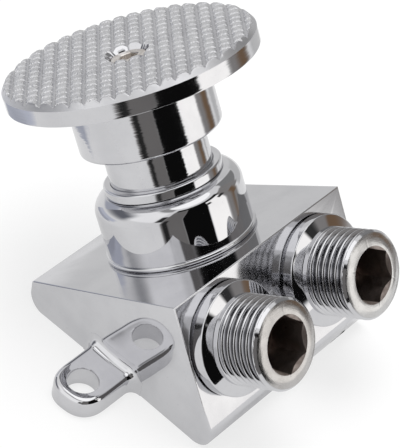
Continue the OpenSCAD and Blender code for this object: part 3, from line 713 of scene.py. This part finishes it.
# %% Pedal screw
SCREW_R, SCREW_FOOT, SCREW_CHAMFER = 3.0, 32.2, 0.5
HEAD_R, HEAD_TOP = 4.2, 46.3
SOCKET_FLATS, SOCKET_DEPTH, SOCKET_CONE = 4.0, 1.2, 0.2
SOCKET_BREAK, BREAK_DEPTH = 0.25, 0.2


def hex_reach(flats, angle):
    """Distance from the middle to a hexagon's side, its corners at whole sixths of a turn."""
    return flats / 2 / cos(angle % (pi / 3) - pi / 6)


def ringed(rows, turns=96, start=0.0):
    """Points and faces from rows of (reach by angle, level); a row of reach 0 closes the shape."""
    points = []
    for reach, level in rows:
        for j in range(turns):
            angle = 2 * pi * j / turns
            r, z = reach(angle), level(angle)
            points.append((r * cos(angle + start), r * sin(angle + start), z))
    return points, quads(len(rows), turns)


def steady(value):
    return lambda angle: value


def steady_rows(points):
    return [(steady(r), steady(z)) for r, z in points]


def socket(grow):
    return lambda angle: hex_reach(SOCKET_FLATS, angle) + grow


shank = [(0.0, SCREW_FOOT), (SCREW_R - SCREW_CHAMFER, SCREW_FOOT), (SCREW_R, SCREW_FOOT + SCREW_CHAMFER),
         (SCREW_R, HEAD_SEAT)]
# The head's first and last corners only close its outline, and are dropped.
head = soften([(SCREW_R, HEAD_SEAT), (HEAD_R, HEAD_SEAT, 0.15), (HEAD_R, HEAD_TOP, 0.2),
               (SCREW_R, HEAD_TOP)])[1:-1]
socket_floor = HEAD_TOP - SOCKET_DEPTH
screw_rows = steady_rows(shank + head)
screw_rows += [(socket(SOCKET_BREAK), steady(HEAD_TOP)), (socket(0.0), steady(HEAD_TOP - BREAK_DEPTH)),
               (socket(0.0), steady(socket_floor)), (steady(0.0), steady(socket_floor - SOCKET_CONE))]
plate_screw = placed("plate_screw", *ringed(screw_rows), on_valve_axis)
dress(plate_screw, "pedal", "steel", ["pedal_screw"], screw_steel)

# %% [markdown]
# ## Pipe thread: the rule
# The nipples carry a half-inch parallel pipe thread. The solid model stands in for it with plain rings;
# here it is a true helix with the standard's flanks. A thread is a wave along the axis that moves on by one
# pitch in a turn, so the tree bends a flat grid into a tube whose rows climb with the angle. Every column
# then carries the same section, and crests and roots stay clean. At both ends the groove is filled up to a
# plain land, one beside the collar and one at the mouth, and a limit cuts the lead-in chamfer.

# %% Geometry tree: pipe thread
COLUMNS, ROWS_IN_TURN, SEAM_WELD = 192, 32, 0.002
CREST_R, THREAD_FOOT, THREAD_END, LEAD_IN = 10.4775, 4.1, 16.341, 0.6
thread_tree, given, result = new_group(
    "pipe thread", "GeometryNodeTree",
    [("Seed", GEOMETRY, None), ("Outer Radius", FLOAT, CREST_R), ("Depth", FLOAT, 1.16),
     ("Pitch", FLOAT, 1.814), ("Flank Slope", FLOAT, 1.92), ("Round", FLOAT, 0.5),
     ("Start", FLOAT, THREAD_FOOT), ("End", FLOAT, THREAD_END), ("First Land", FLOAT, 1.06),
     ("Last Land", FLOAT, 0.6), ("Land Slope", FLOAT, 0.75), ("Chamfer", FLOAT, LEAD_IN),
     ("Turns", WHOLE, 8), ("Columns", WHOLE, COLUMNS), ("Turn", FLOAT, 0.0), ("Finish", MATERIAL, None)],
    [("Geometry", GEOMETRY)])
t = thread_tree
rows = calc(t, "ADD", calc(t, "MULTIPLY", given["Turns"], float(ROWS_IN_TURN)), 1.0)
columns = calc(t, "ADD", given["Columns"], 1.0)
sockets = {"Size X": 1.0, "Size Y": 1.0, "Vertices X": rows, "Vertices Y": columns}
grid = put(t, "GeometryNodeMeshGrid", sockets).outputs["Mesh"]
flat = put(t, "ShaderNodeSeparateXYZ", {0: put(t, "GeometryNodeInputPosition").outputs[0]}).outputs
turn_part = calc(t, "ADD", flat["Y"], 0.5)
phase = calc(t, "MULTIPLY_ADD", calc(t, "ADD", flat["X"], 0.5), given["Turns"], -1.0)
climb = calc(t, "MULTIPLY_ADD", calc(t, "ADD", phase, turn_part), given["Pitch"], given["Start"])
level = calc(t, "MINIMUM", calc(t, "MAXIMUM", climb, given["Start"]), given["End"])
from_crest = calc(t, "ABSOLUTE", calc(t, "SUBTRACT", calc(t, "FRACT", calc(t, "ADD", phase, 2.0)), 0.5))
from_middle = calc(t, "MULTIPLY", calc(t, "SUBTRACT", 0.25, from_crest), given["Pitch"])
flank = calc(t, "MULTIPLY_ADD", from_middle, calc(t, "DIVIDE", given["Flank Slope"], given["Depth"]), 0.5)
wave = calc(t, "SMOOTH_MAX", calc(t, "SMOOTH_MIN", flank, 1.0, given["Round"]), 0.0, given["Round"])
from_start = calc(t, "SUBTRACT", level, given["Start"])
from_end = calc(t, "SUBTRACT", given["End"], level)


def land(run, length):
    """One on a plain land, falling to zero over its slope."""
    return span(t, run, length, calc(t, "ADD", length, given["Land Slope"]), 1.0, 0.0, True)


lands = calc(t, "MAXIMUM", land(from_start, given["First Land"]), land(from_end, given["Last Land"]))
root = calc(t, "SUBTRACT", given["Outer Radius"], given["Depth"])
threaded = calc(t, "MULTIPLY_ADD", calc(t, "MAXIMUM", wave, lands), given["Depth"], root)
chamfered = calc(t, "ADD", calc(t, "SUBTRACT", given["Outer Radius"], given["Chamfer"]), from_end)
radius = calc(t, "MINIMUM", threaded, chamfered)
angle = calc(t, "MULTIPLY_ADD", turn_part, 2 * pi, given["Turn"])
sockets = {"X": calc(t, "MULTIPLY", radius, calc(t, "COSINE", angle)),
           "Y": calc(t, "MULTIPLY", radius, calc(t, "SINE", angle)), "Z": level}
bent = put(t, "ShaderNodeCombineXYZ", sockets).outputs[0]
tube = put(t, "GeometryNodeSetPosition", {"Geometry": grid, "Position": bent}).outputs[0]
welded = put(t, "GeometryNodeMergeByDistance", {"Geometry": tube, "Distance": SEAM_WELD}).outputs[0]
finish_tree(t, welded, given["Finish"], result)

# %% [markdown]
# ## The nipples
# Each nipple is one bar-turned piece: a spigot in the block, a collar with an undercut behind it and a
# sloped front, the thread, a mouth faced with a little fall outwards, and a bore that starts as a hexagon
# for the key that drives it in. The collar and the bore are rings of points on the same columns as the
# thread, so the three weld into one skin. The mouth is faced but not buffed, and the bore is unplated and
# stained, so both have finishes of their own. The inlet's mouth is made darker than the outlet's with
# painted shade.

# %% Nipples
NIPPLE_END, HEX_FLATS, HEX_DEPTH, SINK_R, BORE_R = 16.641, 12.0, 10.0, 6.8, 5.5
FACE_R, FACE_FALL = CREST_R - LEAD_IN, 0.3
SPIGOT_R, SPIGOT_END, SPIGOT_CHAMFER, SPIGOT_LEAD = 8.95, -8.0, 0.25, 0.3
GASKET_IN_R, GASKET_R, GASKET_TOP = 9.05, 11.45, 0.8
UNDERCUT_R, UNDERCUT, COLLAR_R, COLLAR_TOP = 12.5, 0.5, 13.25, 3.1
MOUTH_BREAK, BREAK_FALL, BORE_GUARD, SKIN_WELD = 0.06, 0.02, 0.3, 0.004
THREAD, MOUTH, BORE, COLLAR = 0, 1, 2, 3


def hex_bore(angle):
    return hex_reach(HEX_FLATS, angle)


def mouth_reach(angle):
    """The mouth is the hexagon with a round countersink that only touches its sides."""
    return max(SINK_R, hex_bore(angle))


def sink_level(angle):
    return NIPPLE_END - BREAK_FALL - (mouth_reach(angle) - hex_bore(angle))


def make_nipple(name, hex_turn):
    spigot = [(BORE_R, SPIGOT_END), (SPIGOT_R - SPIGOT_CHAMFER, SPIGOT_END),
              (SPIGOT_R, SPIGOT_END + SPIGOT_LEAD), (SPIGOT_R, 0), (GASKET_IN_R, 0)]
    # The collar's last corner only closes its outline, and is dropped.
    collar = soften([(GASKET_IN_R, GASKET_TOP), (GASKET_R, GASKET_TOP), (GASKET_R, 0, 0.1), (UNDERCUT_R, 0),
                     (UNDERCUT_R, UNDERCUT), (COLLAR_R, UNDERCUT, 0.15), (COLLAR_R, COLLAR_TOP, 0.35),
                     (CREST_R, THREAD_FOOT), (SPIGOT_R, 0)])[:-1]
    lip = (mouth_reach, steady(NIPPLE_END - BREAK_FALL))
    face = steady_rows([(FACE_R, NIPPLE_END - FACE_FALL)])
    face += [(lambda a: mouth_reach(a) + MOUTH_BREAK, steady(NIPPLE_END)), lip]
    bore = [lip, (hex_bore, sink_level), (hex_bore, lambda a: sink_level(a) + BREAK_FALL - BORE_GUARD),
            (hex_bore, steady(NIPPLE_END - HEX_DEPTH))]
    bore += steady_rows([(BORE_R, NIPPLE_END - HEX_DEPTH), (BORE_R, SPIGOT_END)])
    thread_sizes = {"Turn": hex_turn, "Finish": thread_chrome[name]}
    bm = taken(work(blank_piece(name + "_thread"), thread_tree, thread_sizes))
    for skin in bm.faces:
        skin.material_index = THREAD
    for rows, index in ((steady_rows(spigot + collar), COLLAR), (face, MOUTH), (bore, BORE)):
        add_skin(bm, *ringed(rows, COLUMNS, hex_turn), Matrix.Identity(4), index)
    bmesh.ops.remove_doubles(bm, verts=bm.verts, dist=SKIN_WELD)
    bm.transform(on_port_axis[name])
    piece = close_mesh(name + "_pipe", bm, sharp=40, merge=1e-8)
    dress(piece, "valve", "polished_chrome", [name + "_nipple"],
          thread_chrome[name], mouth_chrome[name], bore_brass, bright_chrome)


make_nipple("inlet", radians(-12))
make_nipple("outlet", radians(-3))

# %% [markdown]
# ## The return spring
# Inside the plunger a coil spring lifts the pedal. Wire wound round an arbor is a circle swept along a
# spiral, which is just what two nodes do. The coil stays with the block.

# %% Geometry tree: coil spring
COIL_R, WIRE_R, SPRING_FOOT, SPRING_RISE, STROKE = 8.4, 0.9, 6.0, 22.9, 6.0
spring_tree, given, result = new_group(
    "coil spring", "GeometryNodeTree",
    [("Seed", GEOMETRY, None), ("Coil Radius", FLOAT, COIL_R), ("Wire Radius", FLOAT, WIRE_R),
     ("Turns", FLOAT, 6.0), ("Rise", FLOAT, SPRING_RISE), ("Finish", MATERIAL, None)],
    [("Geometry", GEOMETRY)])
t = spring_tree
sockets = {"Resolution": 40, "Rotations": given["Turns"], "Start Radius": given["Coil Radius"],
           "End Radius": given["Coil Radius"], "Height": given["Rise"]}
spiral = put(t, "GeometryNodeCurveSpiral", sockets).outputs[0]
sockets = {"Resolution": 12, "Radius": given["Wire Radius"]}
wire = put(t, "GeometryNodeCurvePrimitiveCircle", sockets).outputs[0]
sockets = {"Curve": spiral, "Profile Curve": wire, "Fill Caps": True}
coil = put(t, "GeometryNodeCurveToMesh", sockets).outputs[0]
finish_tree(t, coil, given["Finish"], result)
bm = taken(work(blank_piece("coil_blank"), spring_tree, {"Finish": spring_steel}))
bm.transform(on_valve_axis @ Matrix.Translation((0, 0, SPRING_FOOT + WIRE_R)))
coil_spring = close_mesh("coil_spring", bm, sharp=50)
dress(coil_spring, "valve", "steel", ["return_spring"], spring_steel)
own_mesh(coil_spring)

# %% [markdown]
# ## The block
# The block is a casting: a wedge with two lugs, ground flat, its edges broken on the buffing wheel. Its
# solid is already right in every face and bore, so a copy of that mesh is the start. The lugs are cut off
# with a hair of the side faces, because the next step casts them anew with soft hollows. What a casting
# never has is a knife edge, so the long outer edges get a narrow bevel, and weighted normals keep the
# ground faces flat up to it. The port face is less finely buffed than the rest.

# %% Block
SIDE_TAPER, HALF_RIDGE, SIDE_SKIM = 4 / 49, 30.6, 0.01
OUTER_LENGTH, OUTER_ANGLE, EDGE_BREAK = 5.0, radians(28), 0.35
BUFFED, SATIN, SQUARE_ON = 0, 1, 0.999
# Distances in metres within which two points count as one, and edges too short to keep.
SAME_POINT, TINY_EDGE = 2e-6, 5e-6
bm = bmesh.new()
bm.from_mesh(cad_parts["valve_body"].data)
bmesh.ops.remove_doubles(bm, verts=bm.verts, dist=SAME_POINT)
for side in SIDES.values():
    way = Vector((-SIDE_TAPER * UP_SLOPE.x, side, -SIDE_TAPER * UP_SLOPE.z)).normalized()
    spot = (RIDGE + side * (HALF_RIDGE - SIDE_SKIM) * ACROSS) * MM
    everything = bm.verts[:] + bm.edges[:] + bm.faces[:]
    bmesh.ops.bisect_plane(bm, geom=everything, plane_co=spot, plane_no=way, dist=SAME_POINT,
                           clear_outer=True)
    bmesh.ops.holes_fill(bm, edges=[e for e in bm.edges if e.is_boundary])
bmesh.ops.dissolve_limit(bm, angle_limit=radians(0.2), verts=bm.verts, edges=bm.edges)
bmesh.ops.remove_doubles(bm, verts=bm.verts, dist=TINY_EDGE)
outer = [e for e in bm.edges if e.calc_length() > OUTER_LENGTH * MM and e.calc_face_angle(0) > OUTER_ANGLE]
bmesh.ops.bevel(bm, geom=outer, offset=EDGE_BREAK * MM, segments=4, profile=0.5, affect="EDGES",
                clamp_overlap=False)
print("outer edges broken:", len(outer), "open edges:", sum(not e.is_manifold for e in bm.edges))
wedge_block = close_mesh("wedge_block", bm, sharp=40)
steady_normals = wedge_block.modifiers.new("steady_normals", "WEIGHTED_NORMAL")
steady_normals.weight = 90
apply_modifiers(wedge_block)
for face in wedge_block.data.polygons:
    face.material_index = SATIN if face.normal.dot(UP_SLOPE) > SQUARE_ON else BUFFED
dress(wedge_block, "valve", "polished_chrome", ["valve_body"], bright_chrome, satin_chrome)

# %% [markdown]
# ## The lugs
# A lug is a thick tongue with a squarish round end, a slightly dished top and a hollow all round its root,
# so that the buffing wheel can follow it up into the side of the block. One distance rule says how far a
# point is outside the plain tongue. A section at some distance from the block is then the curve on which
# that rule has one value: zero along the tongue, and more and more within the hollow. The sections are
# joined into a skin, and a drill makes the hole.

# %% Lugs
LUG_R, LUG_END, LUG_T, LUG_EDGE, LUG_HOLLOW, DISH = 6.6, 45.1, 5.2, 1.5, 2.4, 0.3
SIDE_AT_LUG, BEND_FROM, SQUARENESS, SQUARE_RUN = 28.18, 37.8, 2.5, 6.0
SUNK, START_RUN, START_SPARE = 0.5, 0.004, 0.3
HOLLOW_STEPS, STRAIGHT_STEPS, BEND_STEPS = 12, 6, 24
HOLE_Y, LUG_HOLE_R, RIM_BREAK = 39.0, 3.8, 0.3
DRILL_ENDS, DRILL_CORE_R, DRILL_TURNS = (-1.0, 7.0), 0.001, 96
FAR_OUT, HALVINGS = 14.0, 36


def lug_y(run, x, z):
    """Place of a section's point: beside the block it follows the side, further out it is square."""
    side = SIDE_AT_LUG + SIDE_TAPER * (UP_SLOPE.x * x + UP_SLOPE.z * z)
    free = min(1.0, max(0.0, (run - LUG_HOLLOW) / SQUARE_RUN))
    return run + side * (1 - free) + SIDE_AT_LUG * free


def outside_tongue(x, y, z):
    """Distance from the plain tongue, below zero inside it."""
    bend = max(0.0, (y - BEND_FROM) / (LUG_END - BEND_FROM))
    plan = abs(x) - LUG_R
    if bend:
        plan = ((abs(x) / LUG_R) ** SQUARENESS + bend ** SQUARENESS) ** (1 / SQUARENESS) * LUG_R - LUG_R
    dished = DISH * max(0.0, 1 - (x / (LUG_R - LUG_EDGE)) ** 2)
    across, above = plan + LUG_EDGE, z - (LUG_T - dished - LUG_EDGE)
    return min(max(across, above), 0.0) + hypot(max(across, 0.0), max(above, 0.0)) - LUG_EDGE


def lug_section(run, off, columns=96):
    """Points at one distance from the block's side that lie a given distance off the plain tongue."""
    made = []
    for j in range(columns + 1):
        way = Vector((cos(pi * j / columns), sin(pi * j / columns)))
        near, far = 0.0, FAR_OUT
        for _ in range(HALVINGS):
            x, z = way * (near + far) / 2
            if outside_tongue(x, lug_y(run, x, z), z) < off:
                near = (near + far) / 2
            else:
                far = (near + far) / 2
        x, z = way * near
        made.append((x, lug_y(run, x, z), max(z, 0.0)))
    return made


def lug_sections():
    """All sections of one lug, from inside the block to the tip."""
    rows = [lug_section(-SUNK, LUG_HOLLOW), lug_section(START_RUN, LUG_HOLLOW + START_SPARE)]
    for k in range(HOLLOW_STEPS + 1):
        turn = pi / 2 * (1 - k / HOLLOW_STEPS)
        rows.append(lug_section(START_RUN + LUG_HOLLOW * (1 - sin(turn)), LUG_HOLLOW * (1 - cos(turn))))
    bend_run, end_run = BEND_FROM - SIDE_AT_LUG, LUG_END - SIDE_AT_LUG
    for k in range(1, STRAIGHT_STEPS + 1):
        rows.append(lug_section(LUG_HOLLOW + (bend_run - LUG_HOLLOW) * k / STRAIGHT_STEPS, 0.0))
    for k in range(1, BEND_STEPS + 1):
        rows.append(lug_section(bend_run + (end_run - bend_run) * sin(pi / 2 * k / BEND_STEPS), 0.0))
    return rows


lug_rows = lug_sections()


def on_hole_rim(v):
    """True for a corner on the upper rim of the hole."""
    from_axis = hypot(v.co.x, abs(v.co.y) - HOLE_Y * MM)
    return abs(from_axis - LUG_HOLE_R * MM) < 2 * SAME_POINT and v.co.z > (LUG_T - LUG_EDGE) * MM


def make_lug(name, side):
    wide, last = len(lug_rows[0]), len(lug_rows) - 1
    points = [(x, side * y, z) for row in lug_rows for x, y, z in row]
    faces = [tuple(range(wide)), tuple(last * wide + j for j in range(wide))] + quads(last + 1, wide)
    lug = placed(name, points, faces, Matrix.Scale(MM, 4), sharp=40)
    low, high = DRILL_ENDS
    drill_outline = [(DRILL_CORE_R, low), (LUG_HOLE_R, low), (LUG_HOLE_R, high), (DRILL_CORE_R, high)]
    drill_place = Matrix.Translation((0, side * HOLE_Y * MM, 0)) @ Matrix.Scale(MM, 4)
    drill = placed(name + "_drill", *lathe(drill_outline, DRILL_TURNS), drill_place)
    hole = lug.modifiers.new("hole", "BOOLEAN")
    hole.object = drill
    hole.solver = "EXACT"
    apply_modifiers(lug)
    bpy.data.objects.remove(drill)
    bm = taken(lug)
    bmesh.ops.remove_doubles(bm, verts=bm.verts, dist=SAME_POINT)
    rim = [e for e in bm.edges
           if all(on_hole_rim(v) for v in e.verts) and e.calc_face_angle(0) > radians(45)]
    bmesh.ops.bevel(bm, geom=rim, offset=RIM_BREAK * MM, segments=3, profile=0.5, affect="EDGES",
                    clamp_overlap=True)
    dress(close_mesh(name, bm, sharp=40), "valve", "polished_chrome", ["valve_body"], bright_chrome)


make_lug("near_lug", -1)
make_lug("far_lug", 1)

# %% [markdown]
# ## The pieces inside
# Seals, gaskets, guide, spindle, seat and disc keep their solids: they are plain turned shapes whose CAD
# meshes are right. They only need their finishes, which go into their material slots.

# %% Finishes for the inner pieces
INNER_FINISHES = [
    (seal_rubber, ["bonnet_seal", "plunger_wiper", "guide_seal", "spindle_seal_upper", "spindle_seal_lower",
                   "disc_washer"]),
    (gasket_fibre, ["inlet_gasket", "outlet_gasket", "seat_seal"]),
    (turned_brass, ["guide_insert", "spindle", "valve_seat", "valve_disc"]),
    (spring_steel, ["disc_nut"]),
]
for material, names in INNER_FINISHES:
    for name in names:
        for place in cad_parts[name].material_slots:
            place.material = material
print("inner pieces finished:", sum(len(names) for material, names in INNER_FINISHES))

# %% [markdown]
# ## The studio
# Chrome has no colour of its own: it shows the room. The room here is a white table with a white wall
# round it, hung with cards, as for any picture of tableware: a black screen in front, a bright soft box
# beside it, grey and brown boards further round. Wall and outer table are one ring, and each card is a
# soft-edged patch of it, given by direction and height in degrees. Later cards hang in front of earlier
# ones. Only reflections see the ring; to the camera and to the lamps it isn't there.

# %% Ring of studio cards
WALL_R, WALL_TOP, EYE_LEVEL, WALL_LIGHT, WALL_STEPS = 0.5, 1.1, 0.05, 0.9, 96
STRIP_R, TOE_STRIP_R, TOE_SIDE, STRIP_LIFT = 0.14, 0.07, -0.75, 0.0004
GREY, WARM, CREAM, BROWN = (1, 1, 1), (1, 0.96, 0.94), (1, 0.985, 0.96), (1, 0.66, 0.42)
LILAC = (0.94, 0.98, 1.12)
CARDS = [
    # from, to, foot, top, light, tint, softness of the sides, softness of foot and top
    (-150, -78, 4, 50, 1.15, GREY, 6, 4),
    (-190, -131, -5, 23, 0.17, LILAC, 11, 11),
    (-190, -138, -30, -18, 0.66, LILAC, 5, 3),
    (-190, -146, -36, -28, 0.5, LILAC, 5, 2),
    (150, 190, -10, 9, 0.5, LILAC, 6, 4),
    (116, 153, -40, 30, 0.74, GREY, 4, 2),
    (78, 120, -40, 9, 0.62, GREY, 4, 2),
    (78, 114, 10, 47, 0.265, GREY, 3, 2),
    (66, 82, 2, 50, 0.275, WARM, 4, 2),
    (43, 70, -40, 50, 0.275, WARM, 4, 2),
    (55, 68, -9, 18, 0.19, BROWN, 5, 2),
    (-140, -76, 53, 64, 0.38, GREY, 4, 2),
    (-62, 52, 46, 56, 0.01, GREY, 4, 2),
    (9.5, 42, -40, 44, 1.36, CREAM, 1.5, 2),
    (35, 50, 27, 38, 0.04, GREY, 2, 2),
    (8, 17, 27, 38, 0.01, GREY, 2, 2),
    (-64, -32, -40, 47, 0.18, WARM, 2, 2),
    (-61, -54, -40, 7, 0.025, GREY, 1.5, 2),
    (-77, -64, 3, 30, 0.035, GREY, 3, 2),
    (-32.5, 8.5, -40, 56, 0.005, GREY, 1, 2),
]


def card_wall():
    """A ring of wall, with a strip of table in front of it that reaches nearer on the toe's side."""
    ways = [(cos(2 * pi * j / WALL_STEPS), sin(2 * pi * j / WALL_STEPS)) for j in range(WALL_STEPS)]
    strip = [STRIP_R if x > TOE_SIDE else TOE_STRIP_R for x, y in ways]
    points = [(r * x, r * y, STRIP_LIFT) for r, (x, y) in zip(strip, ways)]
    points += [(WALL_R * x, WALL_R * y, z) for z in (STRIP_LIFT, WALL_TOP) for x, y in ways]
    return blank_piece("studio_cards", points, quads(3, WALL_STEPS))


def between(tree, value, low, high, soft):
    """One inside a span and zero outside, with soft ends."""
    rise = span(tree, value, low - soft, low + soft, 0.0, 1.0, True)
    fall = span(tree, value, high - soft, high + soft, 1.0, 0.0, True)
    return calc(tree, "MULTIPLY", rise, fall)


def stage_paint(name, piece):
    """A material for a stage piece, with only its output; gives its tree and where the surface goes."""
    material = bpy.data.materials.new(name)
    material.use_nodes = True
    material.node_tree.nodes.remove(material.node_tree.nodes["Principled BSDF"])
    piece.data.materials.append(material)
    return material.node_tree, material.node_tree.nodes["Material Output"].inputs["Surface"]


cards = card_wall()
tree, surface = stage_paint("card_paint", cards)
own = put(tree, "ShaderNodeSeparateXYZ", {0: put(tree, "ShaderNodeTexCoord").outputs["Object"]}).outputs
azimuth = calc(tree, "DEGREES", calc(tree, "ARCTAN2", own["Y"], own["X"]))
distance = vec(tree, "LENGTH", put(tree, "ShaderNodeCombineXYZ", {"X": own["X"], "Y": own["Y"]}).outputs[0])
height = calc(tree, "SUBTRACT", own["Z"], EYE_LEVEL)
elevation = calc(tree, "DEGREES", calc(tree, "ARCTAN2", height, distance))
light = (WALL_LIGHT, WALL_LIGHT, WALL_LIGHT)
for start, end, foot, top, strength, tint, side_soft, end_soft in CARDS:
    sideways = between(tree, azimuth, start, end, side_soft)
    patch = calc(tree, "MULTIPLY", sideways, between(tree, elevation, foot, top, end_soft))
    light = blend(tree, patch, light, tuple(strength * c for c in tint))
tree.links.new(put(tree, "ShaderNodeEmission", {"Color": light}).outputs[0], surface)
cards.visible_camera = False
cards.visible_diffuse = False
cards.visible_shadow = False
cards.visible_transmission = False
print("cards on the wall:", len(CARDS))

# %% [markdown]
# ## Table, backdrop and lamps
# The table is pale and takes the valve's soft shadow. To the camera most of it is plain white of strength
# one, so that the picture stands on white without more light on the metal. Reflections see it a little
# darker. The world does the same for the backdrop, and is a little brighter in reflections. One large lamp
# overhead gives the shadow its direction.

# %% Table, world and lamp
HALF_TABLE, TABLE_TONE, WHITE_SHARE, TABLE_SHINE = 3.0, 0.88, 0.72, 0.8
SKY_LIGHT, SKY_SHINE = 0.75, 0.4
LAMP_SIZE, LAMP_POWER, LAMP_PLACE = 0.6, 6, Vector((-0.15, 0.2, 0.9))
WHITE = (1, 1, 1, 1)


def seen_directly(tree):
    """One for camera, glossy and transmission rays, else zero."""
    path = put(tree, "ShaderNodeLightPath").outputs
    shiny = calc(tree, "MAXIMUM", path["Is Glossy Ray"], path["Is Transmission Ray"])
    return calc(tree, "MAXIMUM", path["Is Camera Ray"], shiny)


table_corners = [(x * HALF_TABLE, y * HALF_TABLE, 0) for x, y in ((-1, -1), (1, -1), (1, 1), (-1, 1))]
table = blank_piece("table", table_corners, [(0, 1, 2, 3)])
tree, surface = stage_paint("table_top", table)
paint = put(tree, "ShaderNodeBsdfDiffuse", {"Color": (TABLE_TONE, TABLE_TONE, TABLE_TONE, 1)})
glossy = put(tree, "ShaderNodeLightPath").outputs["Is Glossy Ray"]
strength = span(tree, glossy, 0.0, 1.0, 1.0, TABLE_SHINE)
white = put(tree, "ShaderNodeEmission", {"Color": WHITE, "Strength": strength})
share = calc(tree, "MULTIPLY", seen_directly(tree), WHITE_SHARE)
both = put(tree, "ShaderNodeMixShader", {0: share, 1: paint.outputs[0], 2: white.outputs[0]})
tree.links.new(both.outputs[0], surface)

world = bpy.data.worlds.new("studio")
world.use_nodes = True
tree = world.node_tree
glossy = put(tree, "ShaderNodeLightPath").outputs["Is Glossy Ray"]
plain = span(tree, seen_directly(tree), 0.0, 1.0, SKY_LIGHT, 1.0)
strength = calc(tree, "MULTIPLY_ADD", glossy, SKY_SHINE, plain)
tree.links.new(strength, tree.nodes["Background"].inputs["Strength"])
tree.nodes["Background"].inputs["Color"].default_value = WHITE
bpy.context.scene.world = world

lamp_data = bpy.data.lights.new("overhead", "AREA")
lamp_data.shape = "RECTANGLE"
lamp_data.size = LAMP_SIZE
lamp_data.size_y = LAMP_SIZE
lamp_data.energy = LAMP_POWER
lamp = bpy.data.objects.new("overhead", lamp_data)
lamp.location = LAMP_PLACE
lamp.rotation_euler = (-LAMP_PLACE).to_track_quat("-Z", "Y").to_euler()
lamp.visible_glossy = False
bpy.context.scene.collection.objects.link(lamp)
bpy.context.scene.view_settings.view_transform = "Standard"
print("studio ready")
